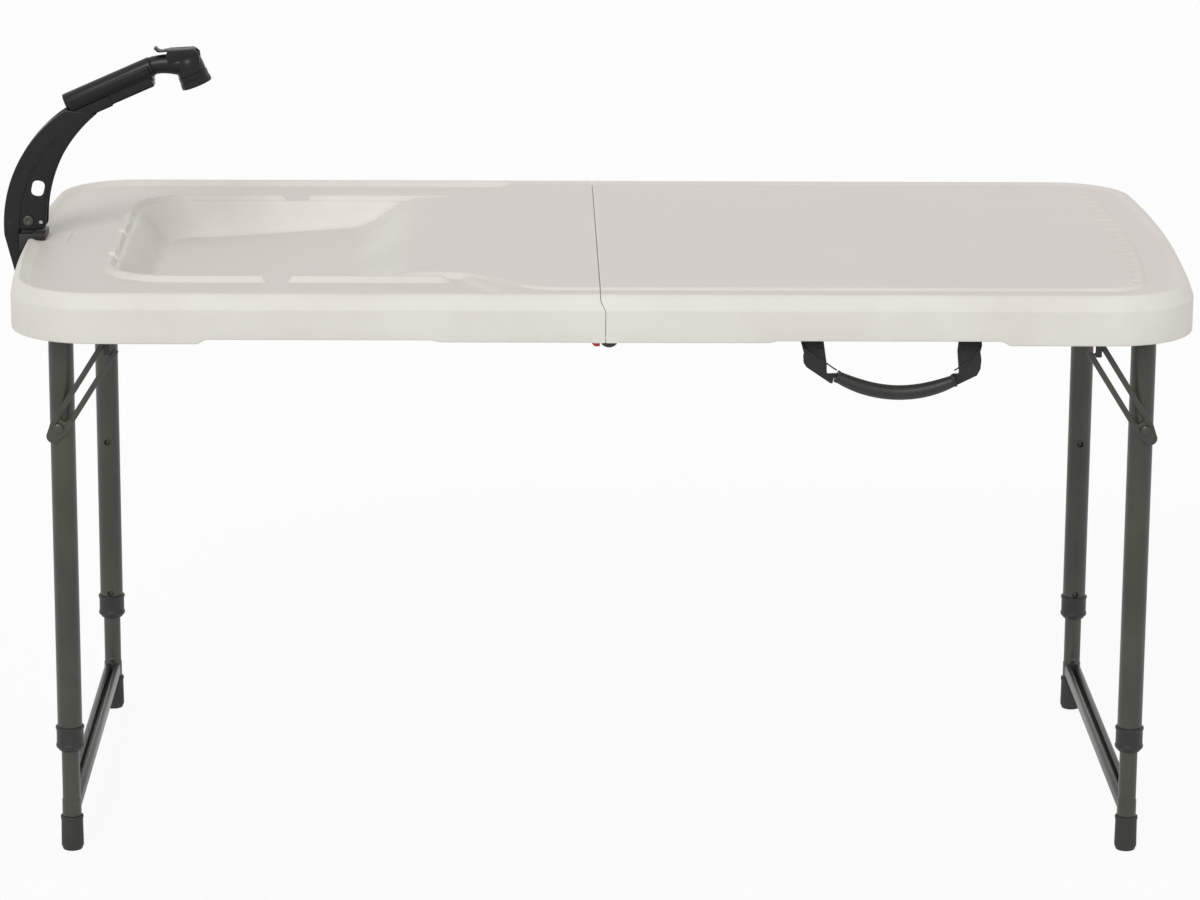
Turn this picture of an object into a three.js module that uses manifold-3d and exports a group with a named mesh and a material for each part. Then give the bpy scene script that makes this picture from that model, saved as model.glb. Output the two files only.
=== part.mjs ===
// Fish cleaning table that folds in half like a suitcase. The left half holds a basin with a ramp and a
// flared draining deck, the right half is a cutting deck with an inch ruler. Two steel leg frames fold and
// telescope, and an arm on the left rim carries a spray gun over the basin.
// Millimetres, +X to the right of the user, +Y away from them, +Z up. The feet stand on z = 0.

import * as THREE from "three";
import { mergeVertices } from "three/addons/utils/BufferGeometryUtils.js";
import Module from "manifold-3d";

const wasm = await Module();
wasm.setup();

// Driving dimensions

const overrun = 1; // a cutter runs this far past the face it opens
const fit = 0.3; // air between fixed neighbours
const running = 0.4; // air between parts that turn or slide on each other

const top = {
  height: 600, // working deck above the ground, at the lowest leg setting
  halfLength: 608,
  halfWidth: 305,
  endBow: 18, // how far the ends bulge between the corners
  cornerRadius: 88,
  rimDrop: 3, // rim below the deck
  edgeDrop: 13, // lower end of the rounded edge, where the skirt starts
  crestInset: 25,
  panelDrop: 18, // underside of the double-wall panel
  skirtDrop: 47,
  skirtWall: 13,
  skirtDraft: 4,
};

const tack = {
  radius: 11,
  tipRadius: 6,
  depth: 9,
  leftShares: [0.12, 0.22], // places along each half, as shares of its length
  rightShares: [0.16, 0.34, 0.52, 0.7],
  sideShares: [-0.5, 0, 0.5],
};

const seam = {
  topX: -4, // line of the seam on the deck
  lapX: 1, // line of the seam on the skirt, under the overhang
  lapTopDrop: 5,
  lapBottomDrop: 14,
  gap: 0.6,
  wall: 13,
  footRoom: 2.4, // air around the feet of a folded leg
};

const skirtLift = {
  depth: 4.5, // raised stretches of the skirt's lower edge
  middleDepth: 2.5,
  slope: 8,
  innerShare: 0.283,
  outerShare: 0.653,
};

const deck = {
  sideInset: 39, // raised deck inside the rim
  endInset: 48,
  cornerRadius: 42,
  draft: 1.5,
  flareStartShare: 0.118, // the deck's edges draw in towards the basin along an S
  flareHalfWidth: 196,
  rampReach: 25, // how far the deck runs on over the ramp's top, which trims it
};

const basin = {
  endMargin: 107,
  sideMargin: 98,
  rampTopShare: 0.3125, // where the ramp meets the deck, as a share of the half's length
  depth: 42,
  rampDepth: 32,
  rampShare: 0.264,
  slopeShare: 0.74,
  endDraft: 31,
  sideDraft: 18,
  cornerRadius: 60,
  floorCornerRadius: 38,
  wall: 4,
};

const bead = {
  offset: 4.5, // middle of the raised bead, outside the basin's edge
  baseWidth: 8,
  topWidth: 4.6,
  rise: 2.5,
  bury: 1,
  gap: 15,
  sideGap: 26,
  sideGapShare: 0.492,
  endGapShares: [0.63, 0.06, -0.51],
};

const ruler = {
  pitch: 25.4,
  length: 12,
  longLength: 22,
  width: 1.6,
  rise: 0.5,
  inset: 52, // outer ends of the marks, inside the end of the table
  margin: 20,
  longEvery: 6,
};

const hinge = {
  y: 150,
  length: 60,
  barrelRadius: 4,
  pinRadius: 1.9,
  knuckleShare: 0.34,
  leafThickness: 2,
  leafHeight: 26,
  rivetRadius: 3.5,
  rivetRise: 1.4,
  rivetHeight: 16,
  rivetShare: 0.3,
};

const leg = {
  endInset: 61,
  sideInset: 63,
  hingeDrop: 36, // cross tube below the deck
  tubeRadius: 12.7,
  tubeWall: 1.2,
  bendRadius: 34,
  lowerRadius: 9.25,
  lowerWall: 1.2,
  lowerEnd: 14,
  headroom: 20,
  crossbarHeight: 46,
  crossbarRadius: 8.8,
  holeRadius: 3.6,
  middleHoleShare: 0.416, // three leg heights, with holes from the highest to the lowest
};

const collar = {
  bottom: 108,
  height: 26,
  lip: 6,
  radius: 14,
  ribRise: 0.8,
  ribHeight: 5,
};

const foot = {
  height: 37,
  radius: 11.6,
  sole: 5,
  padRadius: 10.2,
  padHeight: 3,
};

const saddle = {
  inset: 30, // from the leg's middle to the saddle's middle
  width: 22,
  wall: 3,
  footHalfLength: 24,
  footHeight: 4,
};

const clip = {
  drop: 122, // button below the leg's hinge
  pinRadius: 3.2,
  proud: 2.2,
  domeRise: 1.6,
  leafThickness: 0.8,
  leafWidth: 7.6,
  leafReach: 6.7,
  leafAbove: 7,
  leafBelow: 36,
};

const stay = {
  rivetDrop: 111,
  rivetOut: 3,
  rise: THREE.MathUtils.degToRad(57.7),
  length: 101,
  wireRadius: 2.9,
  wireSpacing: 14.6,
  wireFrom: 10,
  plateGap: 0.5,
  plateThickness: 2.5,
  plateTail: 17,
  plateHead: 19,
  plateWidth: 20,
  plateTailWidth: 14,
  wireBury: 1.2,
  rivetRadius: 6,
  rivetTopRadius: 4,
  rivetRise: 3,
  shankRadius: 3,
  shankReach: 2.8,
};

const keeper = {
  thickness: 4,
  footReach: 19,
  footThickness: 3,
  length: 20,
  hang: 5, // how far the keeper reaches below the stay's end
  ribThickness: 3,
};

const arm = {
  pivotInset: 6, // pivot inside the end of the table
  pivotRise: 17, // pivot above the deck
  halfWidth: 13.5,
  web: 2.8,
  spine: 3,
  outerRadius: 147,
  outerCentreX: 121,
  outerCentreZ: -6,
  outerEnd: THREE.MathUtils.degToRad(122.5),
  innerRadius: 151,
  innerCentreX: 170,
  innerCentreZ: -3,
  innerWall: 8,
  innerEnd: THREE.MathUtils.degToRad(135.5),
  heelWidth: 18.5,
  heelDrop: 10,
  heelCorner: 7,
  tailTopDrop: 16,
  tailTopOut: 24,
  tailBottomDrop: 54,
  tailBottomOut: 16,
  tailFaceDrop: 30,
  holeX: 10.5,
  holeZ: 32.5,
  holeRadius: 6,
  holeLength: 6,
  lockX: 13,
  lockZ: -2,
  lockRadius: 2,
  pinRadius: 3.2,
  pinHeadRadius: 5.5,
  pinHeadRise: 1.4,
  grooveInset: 16.5, // line pressed into both sides, parallel to the outer edge
  grooveWidth: 2,
  grooveDepth: 0.8,
  grooveEnd: THREE.MathUtils.degToRad(131),
};

const clamp = {
  outer: 3.4, // thickness of the lip outside the edge
  innerReach: 18,
  rise: 4,
  halfWidth: 21,
  lugHalfWidth: 10.3,
  lugRadius: 8,
  screwRadius: 3.2,
  screwRise: 1.6,
  screwY: 17.4,
  screwX: 8,
  webRoom: 18, // slots in which the arm's sides swing
};

const sprayer = {
  tilt: THREE.MathUtils.degToRad(23.9),
  startX: 41.3, // rear end of the grip, from the arm's pivot
  startZ: 122.4,
  gripRadius: 10.5,
  gripLength: 92,
  boreRadius: 5.5,
  boreDepth: 60,
  socketRadius: 7.6,
  socketDepth: 14,
  washerThickness: 2.4,
  ribRise: 0.9,
  ribWidth: 2.4,
  ribCount: 4,
  ribPitch: 5,
  neckRadius: 9,
  neckLength: 34,
  faceX: 179, // middle of the outlet, from the arm's pivot
  faceZ: 143,
  faceTilt: THREE.MathUtils.degToRad(21.7),
  bellLength: 34,
  bellTopRadius: 12.4,
  bellShoulderRadius: 13.4,
  bellEndRadius: 12,
  bellShoulder: 4,
  jetCount: 8,
  jetRadius: 1.5,
  ringRadius: 16,
  ringTopRadius: 15,
  ringHeight: 14,
  ringBevel: 1,
  ringRibs: 8,
  ringRibRadius: 1.4,
  ringRibInset: 2,
  faceRecess: 2,
  leverLength: 43.3,
  leverHeel: 7,
  leverWidth: 14,
  leverThickness: 3,
  leverRise: 2.6,
  leverX: 4.4, // lever's pivot beside the head's own axis
  leverPinRadius: 1.5,
  earThickness: 2.2,
  earHalfWidth: 2.8,
  earDepth: 6.2,
};

const cradle = {
  start: 3,
  length: 84,
  wall: 4,
  depth: 12,
};

const carry = {
  share: 0.478, // middle of the handle along the right half
  strapSpacing: 158,
  strapWidth: 24,
  strapThickness: 2.4,
  strapDrop: 44,
  strapLean: 22,
  pivotDrop: 48.5,
  stubTop: 24,
  plateWidth: 30,
  plateHeight: 16,
  plateThickness: 2,
  screwRadius: 3.5,
  screwRise: 1.5,
  screwX: 8,
  gripEndDrop: 28,
  gripSag: 20,
  gripRadius: 8,
  gripInset: 26,
};

const latch = {
  y: 8, // middle of the catch behind the front face
  depth: 12,
  catchX: 4.5,
  catchHalfLength: 8.5,
  catchDrop: 6.5,
  tabLength: 8,
  tabGap: 0.6,
  tabDrop: 6,
  tabDepth: 9,
  lugThickness: 4,
  lugHeight: 18,
  lugLength: 9,
  lugGap: 0.6,
  swingRoom: 1.2, // air around the catch as the table folds
};

const drain = {
  share: 0.195, // from the basin's left edge, as a share of its length
  sideShare: -0.53,
  flangeRadius: 22,
  flangeRise: 2,
  throatRadius: 16,
  boreRadius: 12,
  tail: 12,
  nutRadius: 23,
  nutSides: 6,
  nutHeight: 8,
  plugTaper: 1.2,
  plugDepth: 8,
  plugFlange: 15,
  plugRise: 2.4,
  knobRadius: 4,
  knobHeight: 6,
};

// Levels and lines that follow from them

const deckZ = top.height;
const rimZ = deckZ - top.rimDrop;
const panelZ = deckZ - top.panelDrop;
const skirtZ = deckZ - top.skirtDrop;
const legX = top.halfLength - leg.endInset;
const legY = top.halfWidth - leg.sideInset;
const legHingeZ = deckZ - leg.hingeDrop;
const armPivotX = -(top.halfLength - arm.pivotInset);
const armPivotZ = deckZ + arm.pivotRise;
const armOuterX = armPivotX + arm.outerCentreX - arm.outerRadius;
const middleX = (top.halfLength + armOuterX) / 2;

// Steps of the curves

const cornerSteps = 6;
const bowSteps = 6;
const bevelSteps = 4;
const tubeSides = 12;
const roundSides = 16;
const flareSteps = 6;
const elbowSteps = 4;
const gripSteps = 12;

// Shapes and their joins

function solidOf(geometry) {
  const bare = geometry.clone();
  bare.deleteAttribute("normal");
  bare.deleteAttribute("uv");
  const merged = mergeVertices(bare);
  return new wasm.Manifold(
    new wasm.Mesh({
      numProp: 3,
      vertProperties: merged.attributes.position.array,
      triVerts: new Uint32Array(merged.index.array),
    }),
  );
}

function join(...solids) {
  return solids.reduce((sum, solid) => sum.add(solid));
}

function cut(solid, ...cutters) {
  return cutters.reduce((rest, cutter) => rest.subtract(cutter), solid);
}

function geometryOf(solid) {
  const mesh = solid.getMesh();
  const geometry = new THREE.BufferGeometry();
  geometry.setAttribute("position", new THREE.BufferAttribute(Float32Array.from(mesh.vertProperties), 3));
  geometry.setIndex(new THREE.BufferAttribute(Uint32Array.from(mesh.triVerts), 1));
  return geometry;
}

function steps(from, to, count) {
  return Array.from({ length: count + 1 }, (_, i) => from + ((to - from) * i) / count);
}

function block(xLow, xHigh, yLow, yHigh, zLow, zHigh) {
  const box = new THREE.BoxGeometry(xHigh - xLow, yHigh - yLow, zHigh - zLow);
  return solidOf(box.translate((xLow + xHigh) / 2, (yLow + yHigh) / 2, (zLow + zHigh) / 2));
}

function cone(from, to, fromRadius, toRadius, sides = tubeSides) {
  const start = new THREE.Vector3(...from);
  const end = new THREE.Vector3(...to);
  const direction = end.clone().sub(start);
  const geometry = new THREE.CylinderGeometry(toRadius, fromRadius, direction.length(), sides);
  const turn = new THREE.Quaternion().setFromUnitVectors(new THREE.Vector3(0, 1, 0), direction.normalize());
  const middle = start.add(end).multiplyScalar(1 / 2);
  return solidOf(geometry.applyQuaternion(turn).translate(middle.x, middle.y, middle.z));
}

function rod(from, to, radius, sides = tubeSides) {
  return cone(from, to, radius, radius, sides);
}

// A cutter whose flats, not its corners, stand at the radius
function bore(from, to, radius, sides = tubeSides) {
  return rod(from, to, radius / Math.cos(Math.PI / sides), sides);
}

function polygon(points) {
  return new THREE.Shape(points.map(([x, y]) => new THREE.Vector2(x, y)));
}

// A profile drawn in X and Z, between two values of Y
function sidePrism(points, yLow, yHigh) {
  const geometry = new THREE.ExtrudeGeometry(polygon(points), { depth: yHigh - yLow, bevelEnabled: false });
  return solidOf(geometry.rotateX(Math.PI / 2).translate(0, yHigh, 0));
}

// A profile drawn in Y and Z, between two values of X
function endPrism(points, xLow, xHigh) {
  const geometry = new THREE.ExtrudeGeometry(polygon(points), { depth: xHigh - xLow, bevelEnabled: false });
  return solidOf(geometry.rotateX(Math.PI / 2).rotateZ(Math.PI / 2).translate(xLow, 0, 0));
}

// Rings of as many points each, counter-clockwise seen from above and from the lowest up
function loft(rings) {
  const count = rings[0].length;
  const faces = [];
  for (let level = 0; level < rings.length - 1; level++) {
    for (let i = 0; i < count; i++) {
      const a = level * count + i;
      const b = level * count + ((i + 1) % count);
      faces.push(a, b, b + count, a, b + count, a + count);
    }
  }
  const last = (rings.length - 1) * count;
  const flat = (ring) => ring.map((p) => new THREE.Vector2(p.x, p.y));
  for (const [a, b, c] of THREE.ShapeUtils.triangulateShape(flat(rings[0]), [])) faces.push(c, b, a);
  for (const [a, b, c] of THREE.ShapeUtils.triangulateShape(flat(rings.at(-1)), [])) {
    faces.push(last + a, last + b, last + c);
  }
  const geometry = new THREE.BufferGeometry();
  const positions = rings.flat().flatMap((p) => [p.x, p.y, p.z]);
  geometry.setAttribute("position", new THREE.Float32BufferAttribute(positions, 3));
  geometry.setIndex(faces);
  return solidOf(geometry);
}

function levelRing(points, z) {
  return points.map(([x, y]) => new THREE.Vector3(x, y, z));
}

// A run that is straight between its stations, so that bends get short steps and straights long ones
class Run extends THREE.Curve {
  constructor(stations) {
    super();
    this.stations = stations.map((p) => new THREE.Vector3(...p));
  }
  getPoint(share, target = new THREE.Vector3()) {
    const place = share * (this.stations.length - 1);
    const before = Math.min(Math.floor(place), this.stations.length - 2);
    return target.lerpVectors(this.stations[before], this.stations[before + 1], place - before);
  }
  getPointAt(share, target) {
    return this.getPoint(share, target);
  }
  getTangentAt(share, target = new THREE.Vector3()) {
    const last = this.stations.length - 1;
    const at = Math.round(share * last);
    const here = this.stations[at];
    const back = here.clone().sub(this.stations[Math.max(at - 1, 0)]).normalize();
    const ahead = this.stations[Math.min(at + 1, last)].clone().sub(here).normalize();
    return target.addVectors(back, ahead).normalize();
  }
}

function tubeAlong(stations, radius, sides = tubeSides) {
  const turns = steps(0, 2 * Math.PI, sides).slice(0, sides);
  const section = polygon(turns.map((a) => [radius * Math.cos(a), radius * Math.sin(a)]));
  const extrudePath = new Run(stations);
  return solidOf(new THREE.ExtrudeGeometry(section, { steps: stations.length - 1, extrudePath }));
}

// A profile of radius and height turned round Z, set on an axis
function turned(profile, at, direction, sides = roundSides) {
  const points = profile.map(([radius, height]) => new THREE.Vector2(radius, height));
  const geometry = new THREE.LatheGeometry(points, sides);
  const turn = new THREE.Quaternion().setFromUnitVectors(
    new THREE.Vector3(0, 1, 0),
    new THREE.Vector3(...direction).normalize(),
  );
  return solidOf(geometry.applyQuaternion(turn).translate(...at));
}

function finish(color, roughness, metalness = 0) {
  return new THREE.MeshStandardMaterial({ color, roughness, metalness });
}

const moulded = () => finish(0xd8d4cc, 0.55);
const coatedSteel = () => finish(0x3e3e38, 0.45, 0.6);
const brightSteel = () => finish(0xb8b8b4, 0.35, 1);
const blackPlastic = () => finish(0x1c1c1c, 0.5);
const blackRubber = () => finish(0x242422, 0.8);
const webbing = () => finish(0x202020, 0.9);
const redPlastic = () => finish(0xb3261e, 0.45);

function piece(group, name, solid, material) {
  const mesh = new THREE.Mesh(geometryOf(solid), material);
  mesh.name = name;
  group.add(mesh);
  return mesh;
}

// Moulded halves

// Plan of a half from the seam to its bowed end, drawn for the right half
function endPlan({ length, halfWidth, corner }, inset, seamX) {
  const cornerY = halfWidth - corner;
  const slope = Math.atan((2 * top.endBow * cornerY) / halfWidth ** 2);
  const bowX = (y) => length - top.endBow * (y / halfWidth) ** 2;
  const tangentY = cornerY + corner * Math.sin(slope);
  const cornerX = bowX(tangentY) - corner * Math.cos(slope);
  const reach = corner - inset;
  const front = steps(-Math.PI / 2, -slope, cornerSteps).map((a) => [
    cornerX + reach * Math.cos(a),
    reach * Math.sin(a) - cornerY,
  ]);
  const bow = steps(-tangentY, tangentY, bowSteps).slice(1, bowSteps).map((y) => {
    const lean = Math.atan((2 * top.endBow * y) / halfWidth ** 2);
    return [bowX(y) - inset * Math.cos(lean), y - inset * Math.sin(lean)];
  });
  const rear = front.map(([x, y]) => [x, -y]).reverse();
  const side = halfWidth - inset;
  return [[seamX, -side], ...front, ...bow, ...rear, [seamX, side]];
}

function planOf(side, size, inset, seamX) {
  const plan = endPlan(size, inset, side * seamX);
  return side > 0 ? plan : plan.map(([x, y]) => [-x, y]).reverse();
}

const outline = { length: top.halfLength, halfWidth: top.halfWidth, corner: top.cornerRadius };
const deckOutline = {
  length: top.halfLength - deck.endInset,
  halfWidth: top.halfWidth - deck.sideInset,
  corner: deck.cornerRadius,
};

// The outer form up to the rim, a little larger where a neighbour is to clear it
function rimForm(side, seamX, grow = 0) {
  const ring = (inset, z) => levelRing(planOf(side, outline, inset - grow, seamX), z + grow);
  const bevel = steps(0, 1, bevelSteps).map((share) =>
    ring(top.crestInset * share, rimZ - (top.edgeDrop - top.rimDrop) * (1 - share) ** 2),
  );
  return loft([ring(0, skirtZ - grow), ...bevel]);
}

function undersidePocket(side) {
  const wallX = seam.lapX + side * seam.wall;
  const ring = (inset, z) => levelRing(planOf(side, outline, inset, wallX), z);
  return loft([ring(top.skirtWall, skirtZ - overrun), ring(top.skirtWall + top.skirtDraft, panelZ)]);
}

// The seam's lap: the right half's overhang rests over the left half's lower edge
function lapCutter(side) {
  const gap = seam.gap / 2;
  const topX = seam.topX + side * gap;
  const lapX = seam.lapX + side * gap;
  const lapTop = deckZ - seam.lapTopDrop;
  const lapBottom = deckZ - seam.lapBottomDrop;
  const beyond = side * -(seam.wall + overrun);
  const low = skirtZ - overrun;
  const high = deckZ + overrun;
  const line = [
    [topX, high],
    [topX, lapTop],
    [lapX, lapBottom],
    [lapX, low],
  ];
  const back = [
    [lapX + beyond, low],
    [lapX + beyond, high],
  ];
  const points = [...line, ...back];
  return sidePrism(side > 0 ? points.reverse() : points, -top.halfWidth - overrun, top.halfWidth + overrun);
}

function skirtEdgeCutters(side) {
  const inner = side * skirtLift.innerShare * top.halfLength;
  const outer = side * skirtLift.outerShare * top.halfLength;
  const slope = side * skirtLift.slope;
  const high = skirtZ + skirtLift.depth;
  const middle = skirtZ + skirtLift.middleDepth;
  const low = skirtZ - overrun;
  const start = seam.lapX - side * top.skirtWall;
  const points = [
    [start, low],
    [outer + slope, low],
    [outer, high],
    [inner, high],
    [inner - slope, middle],
    [start, middle],
  ];
  const profile = side > 0 ? points : points.reverse();
  const wall = top.skirtWall + top.skirtDraft;
  return [-1, 1].map((y) => {
    const faces = [y * (top.halfWidth + overrun), y * (top.halfWidth - wall)].sort((a, b) => a - b);
    return sidePrism(profile, ...faces);
  });
}

// Room in the seam walls for the feet of a folded leg and for the fold hinges
function seamRecesses(side) {
  const room = foot.radius + seam.footRoom;
  const faces = [seam.lapX - side * (seam.wall + overrun), seam.lapX + side * (seam.wall + overrun)];
  const [xLow, xHigh] = faces.sort((a, b) => a - b);
  const leaf = seam.wall + fit + hinge.leafThickness + fit;
  const halfLeaf = hinge.length / 2 + fit;
  return [-1, 1].flatMap((y) => [
    block(xLow, xHigh, y * legY - room, y * legY + room, skirtZ - overrun, panelZ),
    block(
      seam.lapX - leaf,
      seam.lapX + leaf,
      y * hinge.y - halfLeaf,
      y * hinge.y + halfLeaf,
      skirtZ - overrun,
      skirtZ + hinge.leafThickness + fit,
    ),
    bore(
      [seam.lapX, y * hinge.y - halfLeaf, skirtZ],
      [seam.lapX, y * hinge.y + halfLeaf, skirtZ],
      hinge.barrelRadius + running,
    ),
  ]);
}

// Cones that tie the underside to the deck
function tackCones(places) {
  const high = panelZ + tack.depth;
  return places.map(([x, y]) =>
    cone([x, y, panelZ - overrun], [x, y, high], tack.radius, tack.tipRadius, tubeSides / 2),
  );
}

const basinLeft = -(top.halfLength - basin.endMargin);
const basinRight = -basin.rampTopShare * top.halfLength;
const basinLength = basinRight - basinLeft;
const basinHalfWidth = top.halfWidth - basin.sideMargin;

function roundedPlan(left, right, halfWidth, radius) {
  const corner = steps(Math.PI / 2, Math.PI, cornerSteps).map((a) => [
    left + radius + radius * Math.cos(a),
    halfWidth - radius + radius * Math.sin(a),
  ]);
  const mirrored = corner.map(([x, y]) => [x, -y]).reverse();
  return [[right, -halfWidth], [right, halfWidth], ...corner, ...mirrored];
}

// Horizontal slice of the basin. The ramp rises to the deck along an S, and the floor falls to the drain.
function basinSlice(depth, rightX, grow) {
  const share = Math.max(depth, 0) / basin.depth;
  const plan = roundedPlan(
    basinLeft + basin.endDraft * share - grow,
    rightX + grow,
    basinHalfWidth - basin.sideDraft * share + grow,
    basin.cornerRadius + (basin.floorCornerRadius - basin.cornerRadius) * share + grow,
  );
  return levelRing(plan, deckZ - depth - grow);
}

function basinSlices(grow) {
  const rampFoot = basinRight - basin.rampShare * basinLength;
  const flatFloor = basinRight - basin.slopeShare * basinLength;
  const ramp = steps(0, 1, bevelSteps + 1).map((share) => {
    const depth = (basin.rampDepth * (1 + Math.cos(Math.PI * share))) / 2;
    return basinSlice(depth, rampFoot + (basinRight - rampFoot) * share, grow);
  });
  return [basinSlice(basin.depth, flatFloor, grow), ...ramp];
}

function beadRing() {
  const radius = basin.cornerRadius + bead.offset;
  const y = basinHalfWidth + bead.offset;
  const left = basinLeft - bead.offset;
  const corner = steps(-Math.PI / 2, -Math.PI, cornerSteps).map((a) => ({
    x: left + radius + radius * Math.cos(a),
    y: radius - y + radius * Math.sin(a),
    out: [Math.cos(a), Math.sin(a)],
  }));
  const front = [{ x: basinRight, y: -y, out: [0, -1] }, ...corner];
  const rear = front.map((p) => ({ x: p.x, y: -p.y, out: [p.out[0], -p.out[1]] })).reverse();
  const path = [...front, ...rear];
  const edge = (width, z) => [
    path.map((p) => new THREE.Vector3(p.x + width * p.out[0], p.y + width * p.out[1], z)),
    path.map((p) => new THREE.Vector3(p.x - width * p.out[0], p.y - width * p.out[1], z)),
  ];
  const ring = (halfWidth, z) => {
    const [outer, inner] = edge(halfWidth, z);
    return [...outer.reverse(), ...inner];
  };
  const strip = loft([
    ring(bead.baseWidth / 2, rimZ - bead.bury),
    ring(bead.baseWidth / 2, rimZ),
    ring(bead.topWidth / 2, rimZ + bead.rise),
  ]);
  const gapX = basinRight - bead.sideGapShare * basinLength;
  const low = rimZ;
  const high = rimZ + bead.rise + overrun;
  const reach = bead.baseWidth;
  const sideGap = block(
    gapX,
    gapX + bead.sideGap,
    -y - reach,
    y + reach,
    low,
    high,
  );
  const endGaps = bead.endGapShares.map((share) =>
    block(
      left - reach,
      left + reach,
      share * basinHalfWidth - bead.gap / 2,
      share * basinHalfWidth + bead.gap / 2,
      low,
      high,
    ),
  );
  return cut(strip, sideGap, ...endGaps);
}

function leftDeck() {
  const halfWidth = top.halfWidth - deck.sideInset;
  const startX = -deck.flareStartShare * top.halfLength;
  const flare = steps(0, 1, flareSteps).map((share) => [
    startX + (basinRight - startX) * share,
    deck.flareHalfWidth + ((halfWidth - deck.flareHalfWidth) * (1 + Math.cos(Math.PI * share))) / 2,
  ]);
  const rear = [[seam.lapX, halfWidth], ...flare, [basinRight - deck.rampReach, deck.flareHalfWidth]];
  const front = rear.map(([x, y]) => [x, -y]).reverse();
  const plan = [...rear, ...front];
  const widened = plan.map(([x, y]) => [x, y + Math.sign(y) * deck.draft]);
  return loft([levelRing(widened, rimZ - bead.bury), levelRing(widened, rimZ), levelRing(plan, deckZ)]);
}

function drainPlace() {
  return [basinLeft + drain.share * basinLength, drain.sideShare * basinHalfWidth];
}

function latchRoom() {
  const y = -top.halfWidth + latch.y;
  const depth = latch.depth / 2 + running;
  const radius = Math.hypot(latch.catchX - latch.catchHalfLength - seam.lapX, skirtLift.middleDepth);
  return bore(
    [seam.lapX, y - depth, skirtZ],
    [seam.lapX, y + depth, skirtZ],
    radius + latch.swingRoom,
    roundSides,
  );
}

function leftTop() {
  const shell = cut(rimForm(-1, seam.lapX), undersidePocket(-1));
  const tub = loft(basinSlices(basin.wall));
  const tubBelowDeck = cut(
    tub,
    block(-top.halfLength, seam.lapX, -top.halfWidth, top.halfWidth, panelZ + overrun, deckZ + top.height),
  );
  const opening = basinSlices(0);
  const above = levelRing(
    roundedPlan(basinLeft, basinRight, basinHalfWidth, basin.cornerRadius),
    deckZ + overrun,
  );
  const [drainX, drainY] = drainPlace();
  const floorZ = deckZ - basin.depth;
  const tackX = tack.leftShares.map((share) => -share * top.halfLength);
  const tackY = tack.sideShares.map((share) => share * top.halfWidth);
  const tacks = tackX.flatMap((x) => tackY.map((y) => [x, y]));
  return cut(
    join(shell, tubBelowDeck, leftDeck(), beadRing()),
    loft([...opening, above]),
    lapCutter(-1),
    ...skirtEdgeCutters(-1),
    ...seamRecesses(-1),
    ...tackCones(tacks),
    latchRoom(),
    bore(
      [drainX, drainY, floorZ - basin.wall - overrun],
      [drainX, drainY, floorZ + overrun],
      drain.throatRadius + fit,
      roundSides,
    ),
  );
}

function rulerMarks() {
  const reach = top.halfWidth - deck.sideInset - ruler.margin;
  const count = Math.floor(reach / ruler.pitch);
  const marks = steps(-count, count, 2 * count).map((n) => Math.round(n));
  return marks.map((n, i) => {
    const y = n * ruler.pitch;
    const x = top.halfLength - ruler.inset - top.endBow * (y / top.halfWidth) ** 2;
    const isLong = i % ruler.longEvery === 0 && i > 0 && i < marks.length - 1;
    const length = isLong ? ruler.longLength : ruler.length;
    const half = ruler.width / 2;
    return block(x - length, x, y - half, y + half, deckZ - overrun, deckZ + ruler.rise);
  });
}

function rightTop() {
  const shell = cut(rimForm(1, seam.topX), undersidePocket(1));
  const raised = (inset, z) => levelRing(planOf(1, deckOutline, inset, seam.topX), z);
  const raisedDeck = loft([
    raised(-deck.draft, rimZ - bead.bury),
    raised(-deck.draft, rimZ),
    raised(0, deckZ),
  ]);
  const tackX = tack.rightShares.map((share) => share * top.halfLength);
  const tackY = tack.sideShares.map((share) => share * top.halfWidth);
  const tacks = tackX.flatMap((x) => tackY.map((y) => [x, y]));
  return cut(
    join(shell, raisedDeck, ...rulerMarks()),
    lapCutter(1),
    ...skirtEdgeCutters(1),
    ...seamRecesses(1),
    ...tackCones(tacks),
  );
}

// Fold hinges, each drawn round its own axis

function hingeLeaf(side) {
  const reach = seam.wall + fit;
  const outer = reach + hinge.leafThickness;
  const half = hinge.length / 2;
  const knuckle = (hinge.knuckleShare * hinge.length) / 2;
  const faces = (a, b) => [side * a, side * b].sort((p, q) => p - q);
  const flange = block(...faces(0, outer), -half, half, 0, hinge.leafThickness);
  const upright = block(...faces(reach, outer), -half, half, 0, hinge.leafHeight);
  const rivets = [-1, 1].map((y) =>
    rod(
      [side * reach, y * hinge.rivetShare * hinge.length, hinge.rivetHeight],
      [side * (outer + hinge.rivetRise), y * hinge.rivetShare * hinge.length, hinge.rivetHeight],
      hinge.rivetRadius,
      tubeSides / 2,
    ),
  );
  const own = side > 0 ? [[-knuckle, knuckle]] : [[-half, -knuckle - running], [knuckle + running, half]];
  const others = side > 0 ? [[-half, -knuckle], [knuckle, half]] : [[-knuckle - running, knuckle + running]];
  const barrels = own.map(([a, b]) => rod([0, a, 0], [0, b, 0], hinge.barrelRadius));
  const clearances = others.map(([a, b]) => bore([0, a, 0], [0, b, 0], hinge.barrelRadius + running));
  const pinBore = bore([0, -half - overrun, 0], [0, half + overrun, 0], hinge.pinRadius + fit);
  return cut(join(cut(join(flange, upright, ...rivets), ...clearances), ...barrels), pinBore);
}

function hingePin() {
  const half = hinge.length / 2;
  return rod([0, -half, 0], [0, half, 0], hinge.pinRadius);
}

// Leg frames. Each is drawn about its own post line, with +X towards the middle of the table.

const lowestHole = collar.bottom + collar.height + leg.holeRadius;
const buttonZ = legHingeZ - clip.drop;
const holeDrops = [0, leg.middleHoleShare, 1].map((share) => share * (buttonZ - lowestHole));
const tubeBore = leg.tubeRadius - leg.tubeWall;
const lowerBore = leg.lowerRadius - leg.lowerWall;

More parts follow.
